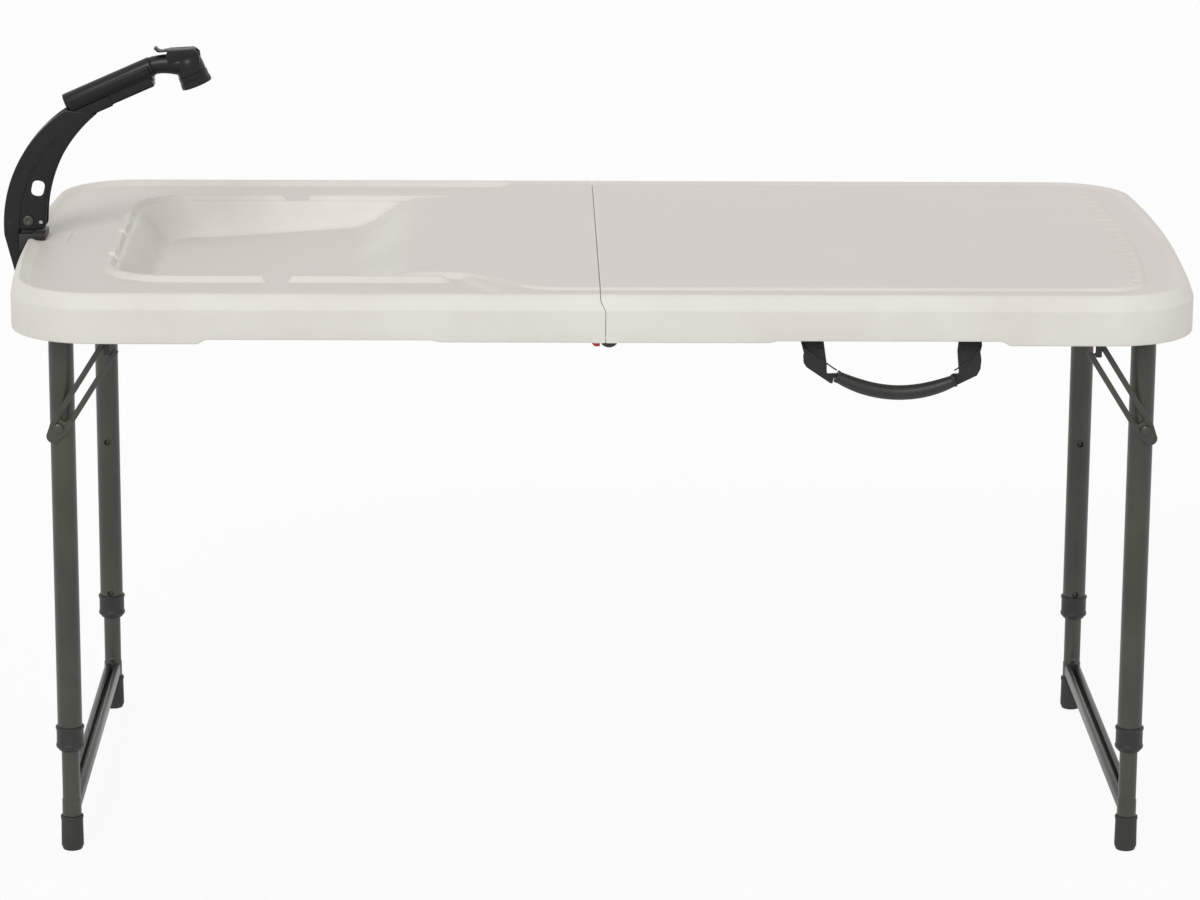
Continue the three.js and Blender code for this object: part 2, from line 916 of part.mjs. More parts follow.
function upperFrame() {
  const tubeEnd = collar.bottom + collar.lip + fit;
  const bend = steps(0, Math.PI / 2, elbowSteps).map((a) => [
    0,
    -legY + leg.bendRadius * (1 - Math.cos(a)),
    legHingeZ - leg.bendRadius * (1 - Math.sin(a)),
  ]);
  const front = [[0, -legY, tubeEnd], ...bend];
  const path = [...front, ...front.map(([x, y, z]) => [x, -y, z]).reverse()];
  const inside = [[0, -legY, tubeEnd - overrun], ...path.slice(1, -1), [0, legY, tubeEnd - overrun]];
  const inward = legY - leg.tubeRadius - overrun;
  const holes = [-1, 1].flatMap((y) => [
    ...holeDrops.map((drop) =>
      bore([0, y * legY, buttonZ - drop], [0, y * inward, buttonZ - drop], leg.holeRadius),
    ),
    bore(
      [-stay.rivetOut, y * legY, legHingeZ - stay.rivetDrop],
      [-stay.rivetOut, y * (legY + leg.tubeRadius + overrun), legHingeZ - stay.rivetDrop],
      stay.shankRadius + fit,
    ),
  ]);
  return cut(tubeAlong(path, leg.tubeRadius), tubeAlong(inside, tubeBore), ...holes);
}

function lowerFrame() {
  const tubeTop = buttonZ + leg.headroom;
  const posts = [-1, 1].map((y) =>
    rod([0, y * legY, foot.sole + fit], [0, y * legY, tubeTop], leg.lowerRadius),
  );
  const bores = [-1, 1].map((y) =>
    bore([0, y * legY, leg.lowerEnd], [0, y * legY, tubeTop + overrun], lowerBore),
  );
  const crossbar = rod([0, -legY, leg.crossbarHeight], [0, legY, leg.crossbarHeight], leg.crossbarRadius);
  const holes = [-1, 1].map((y) =>
    bore([0, y * legY, buttonZ], [0, y * (legY - leg.lowerRadius - overrun), buttonZ], leg.holeRadius),
  );
  return cut(join(...posts, crossbar), ...bores, ...holes);
}

// A bush over the end of the upper tube, closed down to the lower tube
function legCollar(y) {
  const lowerFit = leg.lowerRadius + running;
  const upperFit = leg.tubeRadius + fit;
  const profile = [
    [lowerFit, 0],
    [collar.radius, 0],
    [collar.radius + collar.ribRise, collar.ribRise],
    [collar.radius + collar.ribRise, collar.ribHeight],
    [collar.radius, collar.ribHeight + collar.ribRise],
    [collar.radius, collar.height],
    [upperFit, collar.height],
    [upperFit, collar.lip],
    [lowerFit, collar.lip],
    [lowerFit, 0],
  ];
  return turned(profile, [0, y * legY, collar.bottom], [0, 0, 1]);
}

function legFoot(y) {
  const socket = leg.lowerRadius + fit;
  const profile = [
    [0, 0],
    [foot.padRadius, 0],
    [foot.radius, foot.padHeight],
    [foot.radius, foot.height],
    [socket, foot.height],
    [socket, foot.sole],
    [0, foot.sole],
  ];
  return turned(profile, [0, y * legY, 0], [0, 0, 1]);
}

function pivotSaddle(y) {
  const radius = leg.tubeRadius + running + saddle.wall;
  const upper = leg.hingeDrop - top.panelDrop - fit;
  const below = steps(-Math.PI, 0, 2 * cornerSteps).map((a) => [radius * Math.cos(a), radius * Math.sin(a)]);
  const footZ = upper - saddle.footHeight;
  const points = [
    ...below,
    [radius, footZ],
    [saddle.footHalfLength, footZ],
    [saddle.footHalfLength, upper],
    [-saddle.footHalfLength, upper],
    [-saddle.footHalfLength, footZ],
    [-radius, footZ],
  ];
  const middle = y * (legY - leg.bendRadius - saddle.inset);
  const strap = sidePrism(points, middle - saddle.width / 2, middle + saddle.width / 2);
  const tubeRoom = bore(
    [0, middle - saddle.width, 0],
    [0, middle + saddle.width, 0],
    leg.tubeRadius + running,
    roundSides,
  );
  return cut(strap, tubeRoom).translate([0, 0, legHingeZ]);
}

// Spring clip in the lower tube: the button with its leaf, and the fixed leaf with the bend
function snapButton(y) {
  const reach = (distance) => y * (legY - distance);
  const tip = leg.tubeRadius + clip.proud - clip.domeRise;
  const leafBack = clip.leafReach - clip.leafThickness;
  const pin = rod([0, reach(leafBack), buttonZ], [0, reach(tip), buttonZ], clip.pinRadius);
  const dome = cone(
    [0, reach(tip), buttonZ],
    [0, reach(tip + clip.domeRise), buttonZ],
    clip.pinRadius,
    clip.pinRadius / 2,
  );
  const leafFaces = [reach(leafBack), reach(clip.leafReach)].sort((a, b) => a - b);
  const half = clip.leafWidth / 2;
  const leaf = block(-half, half, ...leafFaces, buttonZ - clip.leafBelow, buttonZ + clip.leafAbove);
  return join(pin, dome, leaf);
}

function clipSpring(y) {
  const half = clip.leafWidth / 2;
  const outer = clip.leafReach;
  const inner = outer - clip.leafThickness;
  const bendTop = -clip.leafBelow - running;
  const arc = (radius, from, to) =>
    steps(from, to, cornerSteps).map((a) => [radius * Math.cos(a), bendTop - outer + radius * Math.sin(a)]);
  const points = [
    [-outer, clip.leafAbove],
    ...arc(outer, -Math.PI, 0),
    [outer, bendTop],
    [inner, bendTop],
    ...arc(inner, 0, -Math.PI),
    [-inner, clip.leafAbove],
  ];
  const spring = endPrism(points, -half, half);
  return (y < 0 ? spring : spring.mirror([0, 1, 0])).translate([0, y * legY, buttonZ]);
}

// Stay of bent wire on a riveted tongue, drawn from its rivet with +X along the stay
function legStay(y) {
  const plateIn = leg.tubeRadius + stay.plateGap;
  const plateOut = plateIn + stay.plateThickness;
  const wireMiddle = plateOut - stay.wireBury + stay.wireRadius;
  const half = stay.wireSpacing / 2;
  const bendX = stay.length - stay.wireRadius - half;
  const bend = steps(-Math.PI / 2, Math.PI / 2, cornerSteps).map((a) => [
    bendX + half * Math.cos(a),
    wireMiddle,
    half * Math.sin(a),
  ]);
  const from = (z) => [stay.wireFrom, wireMiddle, z];
  const wire = tubeAlong([from(-half), ...bend, from(half)], stay.wireRadius, tubeSides / 2);
  const tailHalf = stay.plateTailWidth / 2;
  const headHalf = stay.plateWidth / 2;
  const tail = steps(-Math.PI / 2, -3 * (Math.PI / 2), cornerSteps).map((a) => [
    tailHalf - stay.plateTail + tailHalf * Math.cos(a),
    tailHalf * Math.sin(a),
  ]);
  const outlinePoints = [
    ...tail.reverse(),
    [0, -headHalf],
    [stay.plateHead, -headHalf],
    [stay.plateHead, headHalf],
    [0, headHalf],
  ];
  const plate = sidePrism(outlinePoints, plateIn, plateOut);
  const head = cone(
    [0, plateOut - fit, 0],
    [0, plateOut + stay.rivetRise, 0],
    stay.rivetRadius,
    stay.rivetTopRadius,
  );
  const shank = rod([0, plateIn - stay.shankReach, 0], [0, plateOut, 0], stay.shankRadius, tubeSides / 2);
  const flat = join(wire, plate, head, shank);
  const faced = y > 0 ? flat : flat.mirror([0, 1, 0]);
  const raised = faced.rotate([0, -THREE.MathUtils.radToDeg(stay.rise), 0]);
  return raised.translate([-stay.rivetOut, y * legY, legHingeZ - stay.rivetDrop]);
}

// Bracket under the panel beside the stay's end
function stayKeeper(y) {
  const endX = stay.length * Math.cos(stay.rise) - stay.rivetOut;
  const endZ = legHingeZ - stay.rivetDrop + stay.length * Math.sin(stay.rise);
  const faceY =
    leg.tubeRadius + stay.plateGap + stay.plateThickness - stay.wireBury + 2 * stay.wireRadius + running;
  const low = endZ - keeper.hang;
  const high = panelZ - fit;
  const xLow = endX - keeper.length;
  const side = (a, b) => [y * (legY + a), y * (legY + b)].sort((p, q) => p - q);
  const post = block(xLow, endX, ...side(faceY, faceY + keeper.thickness), low, high);
  const flangeFaces = side(faceY, faceY + keeper.footReach);
  const flange = block(xLow, endX, ...flangeFaces, high - keeper.footThickness, high);
  const middle = (xLow + endX) / 2;
  const ribFaces = [middle - keeper.ribThickness / 2, middle + keeper.ribThickness / 2];
  const rib = [
    [y * (legY + faceY), high],
    [y * (legY + faceY), low + keeper.hang],
    [y * (legY + faceY + keeper.thickness), low + keeper.hang],
    [y * (legY + faceY + keeper.footReach), high - keeper.footThickness],
    [y * (legY + faceY + keeper.footReach), high],
  ];
  const gusset = endPrism(y > 0 ? rib.reverse() : rib, ...ribFaces);
  return join(post, flange, gusset);
}

function legGroup(side) {
  const end = side < 0 ? "left" : "right";
  const group = new THREE.Group();
  group.position.x = side * legX;
  group.rotation.z = side < 0 ? 0 : Math.PI;
  piece(group, `${end}_leg_upper_frame`, upperFrame(), coatedSteel());
  piece(group, `${end}_leg_lower_frame`, lowerFrame(), coatedSteel());
  for (const y of [-1, 1]) {
    const corner = `${end}_${side * y > 0 ? "front" : "rear"}`;
    piece(group, `${corner}_leg_collar`, legCollar(y), blackPlastic());
    piece(group, `${corner}_foot`, legFoot(y), blackRubber());
    piece(group, `${corner}_pivot_saddle`, pivotSaddle(y), blackPlastic());
    piece(group, `${corner}_snap_button`, snapButton(y), brightSteel());
    piece(group, `${corner}_clip_spring`, clipSpring(y), brightSteel());
    piece(group, `${corner}_leg_stay`, legStay(y), coatedSteel());
    piece(group, `${corner}_stay_keeper`, stayKeeper(y), blackPlastic());
  }
  return group;
}

// Tap arm, drawn from its pivot

function arcPoints(centreX, centreZ, radius, from, to) {
  return steps(from, to, cornerSteps + 2).map((a) => [
    centreX + radius * Math.cos(a),
    centreZ + radius * Math.sin(a),
  ]);
}

function sprayerPoint(along, across) {
  return [
    sprayer.startX + along * Math.cos(sprayer.tilt) + across * Math.sin(sprayer.tilt),
    0,
    sprayer.startZ + along * Math.sin(sprayer.tilt) - across * Math.cos(sprayer.tilt),
  ];
}

function faucetArm() {
  const wallX = -arm.pivotInset - fit;
  const clampX = -arm.pivotInset - clamp.outer - running;
  const outerStart = Math.PI + Math.asin((arm.tailTopDrop + arm.outerCentreZ) / arm.outerRadius);
  const innerStart = Math.PI - Math.asin((arm.heelCorner - arm.innerCentreZ) / arm.innerRadius);
  const outer = arcPoints(arm.outerCentreX, arm.outerCentreZ, arm.outerRadius, outerStart, arm.outerEnd);
  const inner = arcPoints(arm.innerCentreX, arm.innerCentreZ, arm.innerRadius, arm.innerEnd, innerStart);
  const profile = [
    [-arm.tailBottomOut, -arm.tailBottomDrop],
    ...outer,
    ...inner,
    [arm.heelWidth, -arm.heelDrop + arm.heelCorner],
    [arm.heelWidth - arm.heelCorner, -arm.heelDrop],
    [clampX, -arm.heelDrop],
    [clampX, -arm.tailFaceDrop],
    [wallX, -arm.tailFaceDrop - clamp.outer],
    [wallX, -arm.tailBottomDrop],
  ];
  const body = sidePrism(profile.reverse(), -arm.halfWidth, arm.halfWidth);
  const hollowOuter = arcPoints(
    arm.outerCentreX,
    arm.outerCentreZ,
    arm.outerRadius - arm.spine,
    Math.PI,
    arm.outerEnd + (arm.innerEnd - arm.outerEnd) / 2,
  );
  const hollowInner = arcPoints(
    arm.innerCentreX + arm.innerWall,
    arm.innerCentreZ,
    arm.innerRadius,
    arm.innerEnd,
    innerStart,
  );
  const hollow = [
    [clampX, -arm.heelDrop - overrun],
    ...hollowOuter,
    ...hollowInner,
    [arm.heelWidth + overrun, -arm.heelDrop - overrun],
  ];
  const inside = arm.halfWidth - arm.web;
  const channel = cut(body, sidePrism(hollow.reverse(), -inside, inside));
  const through = (x, z, radius) =>
    bore([x, -arm.halfWidth - overrun, z], [x, arm.halfWidth + overrun, z], radius);
  const slant = arm.holeLength / 2;
  const oval = join(
    through(arm.holeX - slant / 2, arm.holeZ - slant, arm.holeRadius),
    through(arm.holeX + slant / 2, arm.holeZ + slant, arm.holeRadius),
    through(arm.holeX, arm.holeZ, arm.holeRadius),
  );
  const grooveRadius = arm.outerRadius - arm.grooveInset;
  const grooveArc = (radius) =>
    arcPoints(arm.outerCentreX, arm.outerCentreZ, radius, Math.PI, arm.grooveEnd);
  const groove = [...grooveArc(grooveRadius), ...grooveArc(grooveRadius - arm.grooveWidth).reverse()];
  const grooveFloor = arm.halfWidth - arm.grooveDepth;
  const grooves = [
    sidePrism([...groove].reverse(), -arm.halfWidth - overrun, -grooveFloor),
    sidePrism([...groove].reverse(), grooveFloor, arm.halfWidth + overrun),
  ];
  const reach = 2 * sprayer.gripLength;
  const gripRoom = bore(
    sprayerPoint(-reach, 0),
    sprayerPoint(reach, 0),
    sprayer.gripRadius + running,
    roundSides,
  );
  return cut(
    join(cut(channel, ...grooves), sprayCradle()),
    gripRoom,
    oval,
    through(0, 0, arm.pinRadius + fit),
    through(arm.lockX, arm.lockZ, arm.lockRadius),
  );
}

// Trough on the arm's end that holds the grip
function sprayCradle() {
  const radius = sprayer.gripRadius + running;
  const outer = radius + cradle.wall;
  const below = steps(-Math.PI, 0, 2 * cornerSteps).map((a) => [outer * Math.cos(a), outer * Math.sin(a)]);
  const lip = radius + cradle.wall / 2;
  const section = [...below, [lip, cradle.wall], [-lip, cradle.wall]];
  const trough = endPrism(section, cradle.start, cradle.start + cradle.length);
  const rib = block(
    cradle.start,
    cradle.start + cradle.length / 2,
    -arm.halfWidth,
    arm.halfWidth,
    -outer - cradle.depth / 2,
    -radius,
  );
  return join(trough, rib)
    .rotate([0, -THREE.MathUtils.radToDeg(sprayer.tilt), 0])
    .translate([sprayer.startX, 0, sprayer.startZ]);
}

function faucetClamp() {
  const outerX = -arm.pivotInset - clamp.outer;
  const low = -arm.pivotRise - top.edgeDrop;
  const high = clamp.rise - arm.pivotRise;
  const base = block(outerX, clamp.innerReach, -clamp.halfWidth, clamp.halfWidth, low, high);
  const onTop = rimForm(-1, seam.lapX, fit).translate([-armPivotX, 0, -armPivotZ]);
  const lug = join(
    rod([0, -clamp.lugHalfWidth, 0], [0, clamp.lugHalfWidth, 0], clamp.lugRadius, roundSides),
    block(-clamp.lugRadius, clamp.lugRadius, -clamp.lugHalfWidth, clamp.lugHalfWidth, high - clamp.rise, 0),
  );
  const screws = [-1, 1].map((y) =>
    rod(
      [clamp.screwX, y * clamp.screwY, high - clamp.rise],
      [clamp.screwX, y * clamp.screwY, high + clamp.screwRise],
      clamp.screwRadius,
      tubeSides / 2,
    ),
  );
  const slots = [-1, 1].map((y) =>
    bore([0, y * clamp.lugHalfWidth, 0], [0, y * (arm.halfWidth + running), 0], clamp.webRoom, roundSides),
  );
  const pinBore = bore([0, -clamp.halfWidth, 0], [0, clamp.halfWidth, 0], arm.pinRadius + fit);
  return cut(join(cut(base, onTop, ...slots), lug, ...screws), pinBore);
}

function armPin() {
  const half = arm.halfWidth + running;
  const head = half + arm.pinHeadRise;
  return join(
    rod([0, -half - fit, 0], [0, half + fit, 0], arm.pinRadius),
    rod([0, -head, 0], [0, -half, 0], arm.pinHeadRadius),
    rod([0, half, 0], [0, head, 0], arm.pinHeadRadius),
  );
}

function sprayerGrip() {
  const neckFrom = sprayer.gripLength - sprayer.ribCount * sprayer.ribPitch;
  const ribRadius = sprayer.neckRadius + sprayer.ribRise;
  const ribs = steps(0, sprayer.ribCount - 1, sprayer.ribCount - 1).flatMap((n) => {
    const from = neckFrom + n * sprayer.ribPitch + sprayer.ribWidth;
    return [
      [sprayer.neckRadius, from],
      [ribRadius, from],
      [ribRadius, from + sprayer.ribWidth],
      [sprayer.neckRadius, from + sprayer.ribWidth],
    ];
  });
  const profile = [
    [0, sprayer.boreDepth],
    [sprayer.boreRadius, sprayer.boreDepth],
    [sprayer.boreRadius, sprayer.socketDepth],
    [sprayer.socketRadius, sprayer.socketDepth],
    [sprayer.socketRadius, 0],
    [sprayer.gripRadius, 0],
    [sprayer.gripRadius, neckFrom - sprayer.ribPitch],
    [sprayer.neckRadius, neckFrom],
    ...ribs,
    [sprayer.neckRadius, sprayer.gripLength],
    [0, sprayer.gripLength],
  ];
  return turned(profile, sprayerPoint(0, 0), [Math.cos(sprayer.tilt), 0, Math.sin(sprayer.tilt)]);
}

function inletWasher() {
  const start = sprayerPoint(sprayer.socketDepth - sprayer.washerThickness - fit, 0);
  const end = sprayerPoint(sprayer.socketDepth - fit, 0);
  const radius = (sprayer.socketRadius - fit) * Math.cos(Math.PI / roundSides);
  const ring = rod(start, end, radius);
  return cut(ring, bore(sprayerPoint(0, 0), sprayerPoint(2 * sprayer.socketDepth, 0), sprayer.boreRadius));
}

// Point on the spray head's own axis, from the outlet up, and beside it
function headPoint(up, right) {
  return [
    sprayer.faceX - up * Math.sin(sprayer.faceTilt) + right * Math.cos(sprayer.faceTilt),
    0,
    sprayer.faceZ + up * Math.cos(sprayer.faceTilt) + right * Math.sin(sprayer.faceTilt),
  ];
}

const headAxis = [-Math.sin(sprayer.faceTilt), 0, Math.cos(sprayer.faceTilt)];

function sprayerHead() {
  const shoulder = sprayer.bellLength - sprayer.bellShoulder;
  const bell = turned(
    [
      [0, sprayer.faceRecess],
      [sprayer.bellEndRadius, sprayer.faceRecess],
      [sprayer.bellEndRadius, sprayer.ringHeight],
      [sprayer.ringTopRadius, sprayer.ringHeight + fit],
      [sprayer.bellShoulderRadius, shoulder],
      [sprayer.bellTopRadius - sprayer.bellShoulder, sprayer.bellLength],
      [0, sprayer.bellLength],
    ],
    headPoint(0, 0),
    headAxis,
  );
  const neckStart = sprayerPoint(sprayer.gripLength + fit, 0);
  const neckCurve = new THREE.QuadraticBezierCurve3(
    new THREE.Vector3(...sprayerPoint(sprayer.gripLength + sprayer.ribWidth, 0)),
    new THREE.Vector3(...sprayerPoint(sprayer.gripLength + sprayer.neckLength / 2, 0)),
    new THREE.Vector3(...headPoint(sprayer.bellLength - sprayer.neckRadius - sprayer.bellShoulder, 0)),
  );
  const bends = neckCurve.getPoints(bowSteps).map((p) => p.toArray());
  const neck = tubeAlong([neckStart, ...bends], sprayer.neckRadius);
  const jets = steps(0, 2 * Math.PI, sprayer.jetCount)
    .slice(0, sprayer.jetCount)
    .map((a) => {
      const [x, , z] = headPoint(sprayer.faceRecess, (sprayer.bellEndRadius / 2) * Math.cos(a));
      const y = (sprayer.bellEndRadius / 2) * Math.sin(a);
      const deep = sprayer.faceRecess;
      return rod(
        [x - deep * headAxis[0], y, z - deep * headAxis[2]],
        [x + deep * headAxis[0], y, z + deep * headAxis[2]],
        sprayer.jetRadius,
        tubeSides / 2,
      );
    });
  const [pivotX, , pivotZ] = leverPivot();
  const earFrom = sprayer.leverWidth / 2 + running;
  const ears = [-1, 1].map((y) => {
    const faces = [y * earFrom, y * (earFrom + sprayer.earThickness)].sort((a, b) => a - b);
    const half = sprayer.earHalfWidth;
    const ear = block(-half, half, ...faces, -sprayer.earDepth, half);
    return ear.rotate([0, -THREE.MathUtils.radToDeg(sprayer.faceTilt), 0]).translate([pivotX, 0, pivotZ]);
  });
  const pinY = earFrom + sprayer.earThickness + overrun;
  const pinBore = bore(
    [pivotX, -pinY, pivotZ],
    [pivotX, pinY, pivotZ],
    sprayer.leverPinRadius + running,
  );
  return cut(join(bell, neck, ...ears), pinBore, ...jets);
}

function outletRing() {
  const inside = sprayer.bellEndRadius + running;
  const ring = turned(
    [
      [inside, 0],
      [sprayer.ringRadius - sprayer.ringBevel, 0],
      [sprayer.ringRadius, sprayer.ringBevel],
      [sprayer.ringTopRadius, sprayer.ringHeight - running],
      [inside, sprayer.ringHeight - running],
      [inside, 0],
    ],
    [0, 0, 0],
    [0, 0, 1],
  );
  const ribs = steps(0, 2 * Math.PI, sprayer.ringRibs)
    .slice(0, sprayer.ringRibs)
    .map((a) => {
      const at = (radius, z) => [radius * Math.cos(a), radius * Math.sin(a), z];
      return rod(
        at(sprayer.ringRadius - sprayer.ringRibRadius, sprayer.ringRibInset),
        at(sprayer.ringTopRadius - sprayer.ringRibRadius / 2, sprayer.ringHeight - sprayer.ringRibInset),
        sprayer.ringRibRadius,
        tubeSides / 2,
      );
    });
  return join(ring, ...ribs)
    .rotate([0, -THREE.MathUtils.radToDeg(sprayer.faceTilt), 0])
    .translate([sprayer.faceX, 0, sprayer.faceZ]);
}

function leverPivot() {
  return headPoint(sprayer.bellLength + sprayer.leverRise, sprayer.leverX);
}

function sprayLever() {
  const half = sprayer.leverWidth / 2;
  const thick = sprayer.leverThickness;
  const heelRise = sprayer.leverHeel * Math.tan(sprayer.faceTilt);
  const plate = sidePrism(
    [
      [sprayer.leverHeel, heelRise - thick / 2],
      [sprayer.leverHeel, heelRise],
      [0, thick / 2],
      [-sprayer.leverLength / 2, thick / 2],
      [-sprayer.leverLength, -thick / 2],
      [-sprayer.leverLength, -thick],
      [-sprayer.leverLength / 2, -thick / 2],
      [0, -thick / 2],
    ],
    -half,
    half,
  );
  const [x, , z] = leverPivot();
  const pinEnd = half + running + sprayer.earThickness;
  const pin = rod([0, -pinEnd, 0], [0, pinEnd, 0], sprayer.leverPinRadius, tubeSides);
  return join(plate, pin).translate([x, 0, z]);
}

function faucetGroup() {
  const group = new THREE.Group();
  group.position.set(armPivotX, 0, armPivotZ);
  piece(group, "faucet_clamp", faucetClamp(), blackPlastic());
  piece(group, "faucet_arm", faucetArm(), blackPlastic());
  piece(group, "faucet_arm_pin", armPin(), brightSteel());
  piece(group, "sprayer_grip", sprayerGrip(), blackPlastic());
  piece(group, "inlet_washer", inletWasher(), blackRubber());
  piece(group, "sprayer_head", sprayerHead(), blackPlastic());
  piece(group, "outlet_ring", outletRing(), blackPlastic());
  piece(group, "spray_lever", sprayLever(), blackPlastic());
  return group;
}

// Carry handle behind the front skirt, drawn from the line on which its straps swing

const strapY = -top.halfWidth + top.skirtWall + top.skirtDraft + carry.strapThickness / 2;

function handleStrap(side) {
  const half = carry.strapWidth / 2;
  const outerX = side * (carry.strapSpacing / 2 + half);
  const innerX = side * (carry.strapSpacing / 2 - half);
  const thick = carry.strapThickness / 2;
  const lean = side * carry.strapLean;
  const points = [
    [outerX, 0],
    [innerX, 0],
    [innerX - lean, -carry.gripEndDrop],
    [outerX - lean - side * half, -carry.strapDrop],
    [outerX - lean / 2, -carry.strapDrop / 2],
  ];
  const band = sidePrism(side > 0 ? points.reverse() : points, -thick, thick);
  const topRound = rod([outerX, 0, 0], [innerX, 0, 0], thick, tubeSides / 2);
  return join(band, topRound);
}

function handleGrip() {
  const reach = carry.strapSpacing / 2 - carry.gripInset;
  const stations = steps(-1, 1, gripSteps).map((share) => [
    reach * share,
    0,
    -carry.gripEndDrop - carry.gripSag * (1 - share ** 2),
  ]);
  return tubeAlong(stations, carry.gripRadius);
}

function handleAnchor(side) {
  const half = carry.strapWidth / 2;
  const thick = carry.strapThickness / 2;
  const middle = side * (carry.strapSpacing / 2);
  const wallFace = (z) => {
    const pocketLow = -top.skirtDrop - overrun;
    const share = (z - carry.pivotDrop - pocketLow) / (-top.panelDrop - pocketLow);
    return top.skirtWall + top.skirtDraft * share - top.halfWidth - strapY;
  };
  const stubProfile = [
    [wallFace(thick + fit), thick + fit],
    [thick, thick + fit],
    [thick, carry.stubTop],
    [wallFace(carry.stubTop), carry.stubTop],
  ];
  const stub = endPrism(stubProfile, middle - half, middle + half);
  const plateHalf = carry.plateWidth / 2;
  const low = carry.stubTop - carry.plateHeight;
  const plate = block(
    middle - plateHalf,
    middle + plateHalf,
    thick - fit,
    thick + carry.plateThickness,
    low,
    carry.stubTop,
  );
  const screwZ = (low + carry.stubTop) / 2;
  const screws = [-1, 1].map((x) =>
    rod(
      [middle + x * carry.screwX, thick, screwZ],
      [middle + x * carry.screwX, thick + carry.plateThickness + carry.screwRise, screwZ],
      carry.screwRadius,
      tubeSides / 2,
    ),
  );
  return join(stub, plate, ...screws);
}

function handleGroup() {
  const group = new THREE.Group();
  group.position.set(carry.share * top.halfLength, strapY + fit, deckZ - carry.pivotDrop);
  for (const side of [-1, 1]) {
    const end = side < 0 ? "left" : "right";
    piece(group, `${end}_handle_strap`, cut(handleStrap(side), handleGrip()), webbing());
    piece(group, `${end}_handle_anchor`, handleAnchor(side), blackPlastic());
  }
  piece(group, "handle_grip", handleGrip(), blackPlastic());
  return group;
}

// Latch at the seam, under the front skirt

function latchCatch() {
  const z = skirtZ + skirtLift.middleDepth - fit;
  const yLow = -top.halfWidth + latch.y - latch.depth / 2;
  const yHigh = yLow + latch.depth;
  const below = steps(-Math.PI, 0, 2 * cornerSteps).map((a) => [
    latch.catchX + latch.catchHalfLength * Math.cos(a),
    z + latch.catchDrop * Math.sin(a),
  ]);
  const body = sidePrism(below, yLow, yHigh);
  const wallFace = -top.halfWidth + top.skirtWall + top.skirtDraft;
  const lugLeft = seam.lapX + seam.wall + latch.lugGap;
  const lugRight = lugLeft + latch.lugLength;
  const barFront = yLow + latch.depth / 2;
  const barLow = z - latch.lugThickness / 2;
  const lugBack = wallFace + fit + latch.lugThickness;
  const bar = block(latch.catchX, lugRight, barFront, wallFace - fit, barLow, z);
  const heel = block(lugLeft, lugRight, barFront, lugBack, barLow, z);
  const lug = block(lugLeft, lugRight, wallFace + fit, lugBack, barLow, z + latch.lugHeight);
  return join(body, bar, heel, lug);
}

function latchTab() {
  const z = skirtZ + skirtLift.middleDepth - fit;
  const right = latch.catchX - latch.catchHalfLength - latch.tabGap;
  const left = right - latch.tabLength;
  const yLow = -top.halfWidth + latch.y - latch.tabDepth / 2;
  const yHigh = yLow + latch.tabDepth;
  const points = [
    [left, z],
    [left, z - latch.tabDrop / 2],
    [left + latch.tabLength / 3, z - latch.tabDrop],
    [right, z - latch.tabDrop],
    [right, z],
  ];
  return sidePrism(points, yLow, yHigh);
}

// Drain in the lowest part of the basin

function drainFitting() {
  const floor = basin.depth;
  const under = -floor - basin.wall - drain.tail;
  const profile = [
    [drain.boreRadius, under],
    [drain.throatRadius, under],
    [drain.throatRadius, fit - floor],
    [drain.flangeRadius, fit - floor],
    [drain.flangeRadius - drain.flangeRise, drain.flangeRise - floor],
    [drain.boreRadius + drain.plugTaper, drain.flangeRise - floor],
    [drain.boreRadius, -floor],
    [drain.boreRadius, under],
  ];
  const [x, y] = drainPlace();
  return turned(profile, [x, y, deckZ], [0, 0, 1]);
}

function drainNut() {
  const [x, y] = drainPlace();
  const high = deckZ - basin.depth - basin.wall - fit;
  const low = high - drain.nutHeight;
  return cut(
    rod([x, y, low], [x, y, high], drain.nutRadius, drain.nutSides),
    bore([x, y, low - overrun], [x, y, high + overrun], drain.throatRadius + fit, roundSides),
  );
}

function drainPlug() {
  const seat = drain.flangeRise + fit;
  const flange = drain.plugFlange;
  const profile = [
    [0, -drain.plugDepth],
    [drain.boreRadius - drain.plugTaper, -drain.plugDepth],
    [drain.boreRadius - running, seat],
    [flange, seat],
    [flange, seat + drain.plugRise],
    [drain.knobRadius, seat + drain.plugRise],
    [drain.knobRadius, seat + drain.plugRise + drain.knobHeight],
    [0, seat + drain.plugRise + drain.knobHeight],
  ];
  const [x, y] = drainPlace();
  return turned(profile, [x, y, deckZ - basin.depth], [0, 0, 1]);
}

// Assembly

const table = new THREE.Group();
table.position.x = -middleX;

piece(table, "left_top", leftTop(), moulded());
piece(table, "right_top", rightTop(), moulded());

for (const y of [-1, 1]) {
  const place = y < 0 ? "front" : "rear";
  const group = new THREE.Group();
  group.position.set(seam.lapX, y * hinge.y, skirtZ);
  piece(group, `${place}_hinge_left_leaf`, hingeLeaf(-1), brightSteel());
  piece(group, `${place}_hinge_right_leaf`, hingeLeaf(1), brightSteel());
  piece(group, `${place}_hinge_pin`, hingePin(), brightSteel());
  table.add(group);
}

table.add(legGroup(-1), legGroup(1), faucetGroup(), handleGroup());
piece(table, "latch_catch", latchCatch(), blackPlastic());
piece(table, "latch_tab", latchTab(), redPlastic());
piece(table, "drain_fitting", drainFitting(), blackPlastic());
piece(table, "drain_nut", drainNut(), blackPlastic());
piece(table, "drain_plug", drainPlug(), blackRubber());

export default table;
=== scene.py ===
import math

import bmesh
import bpy
from mathutils import Matrix, Vector


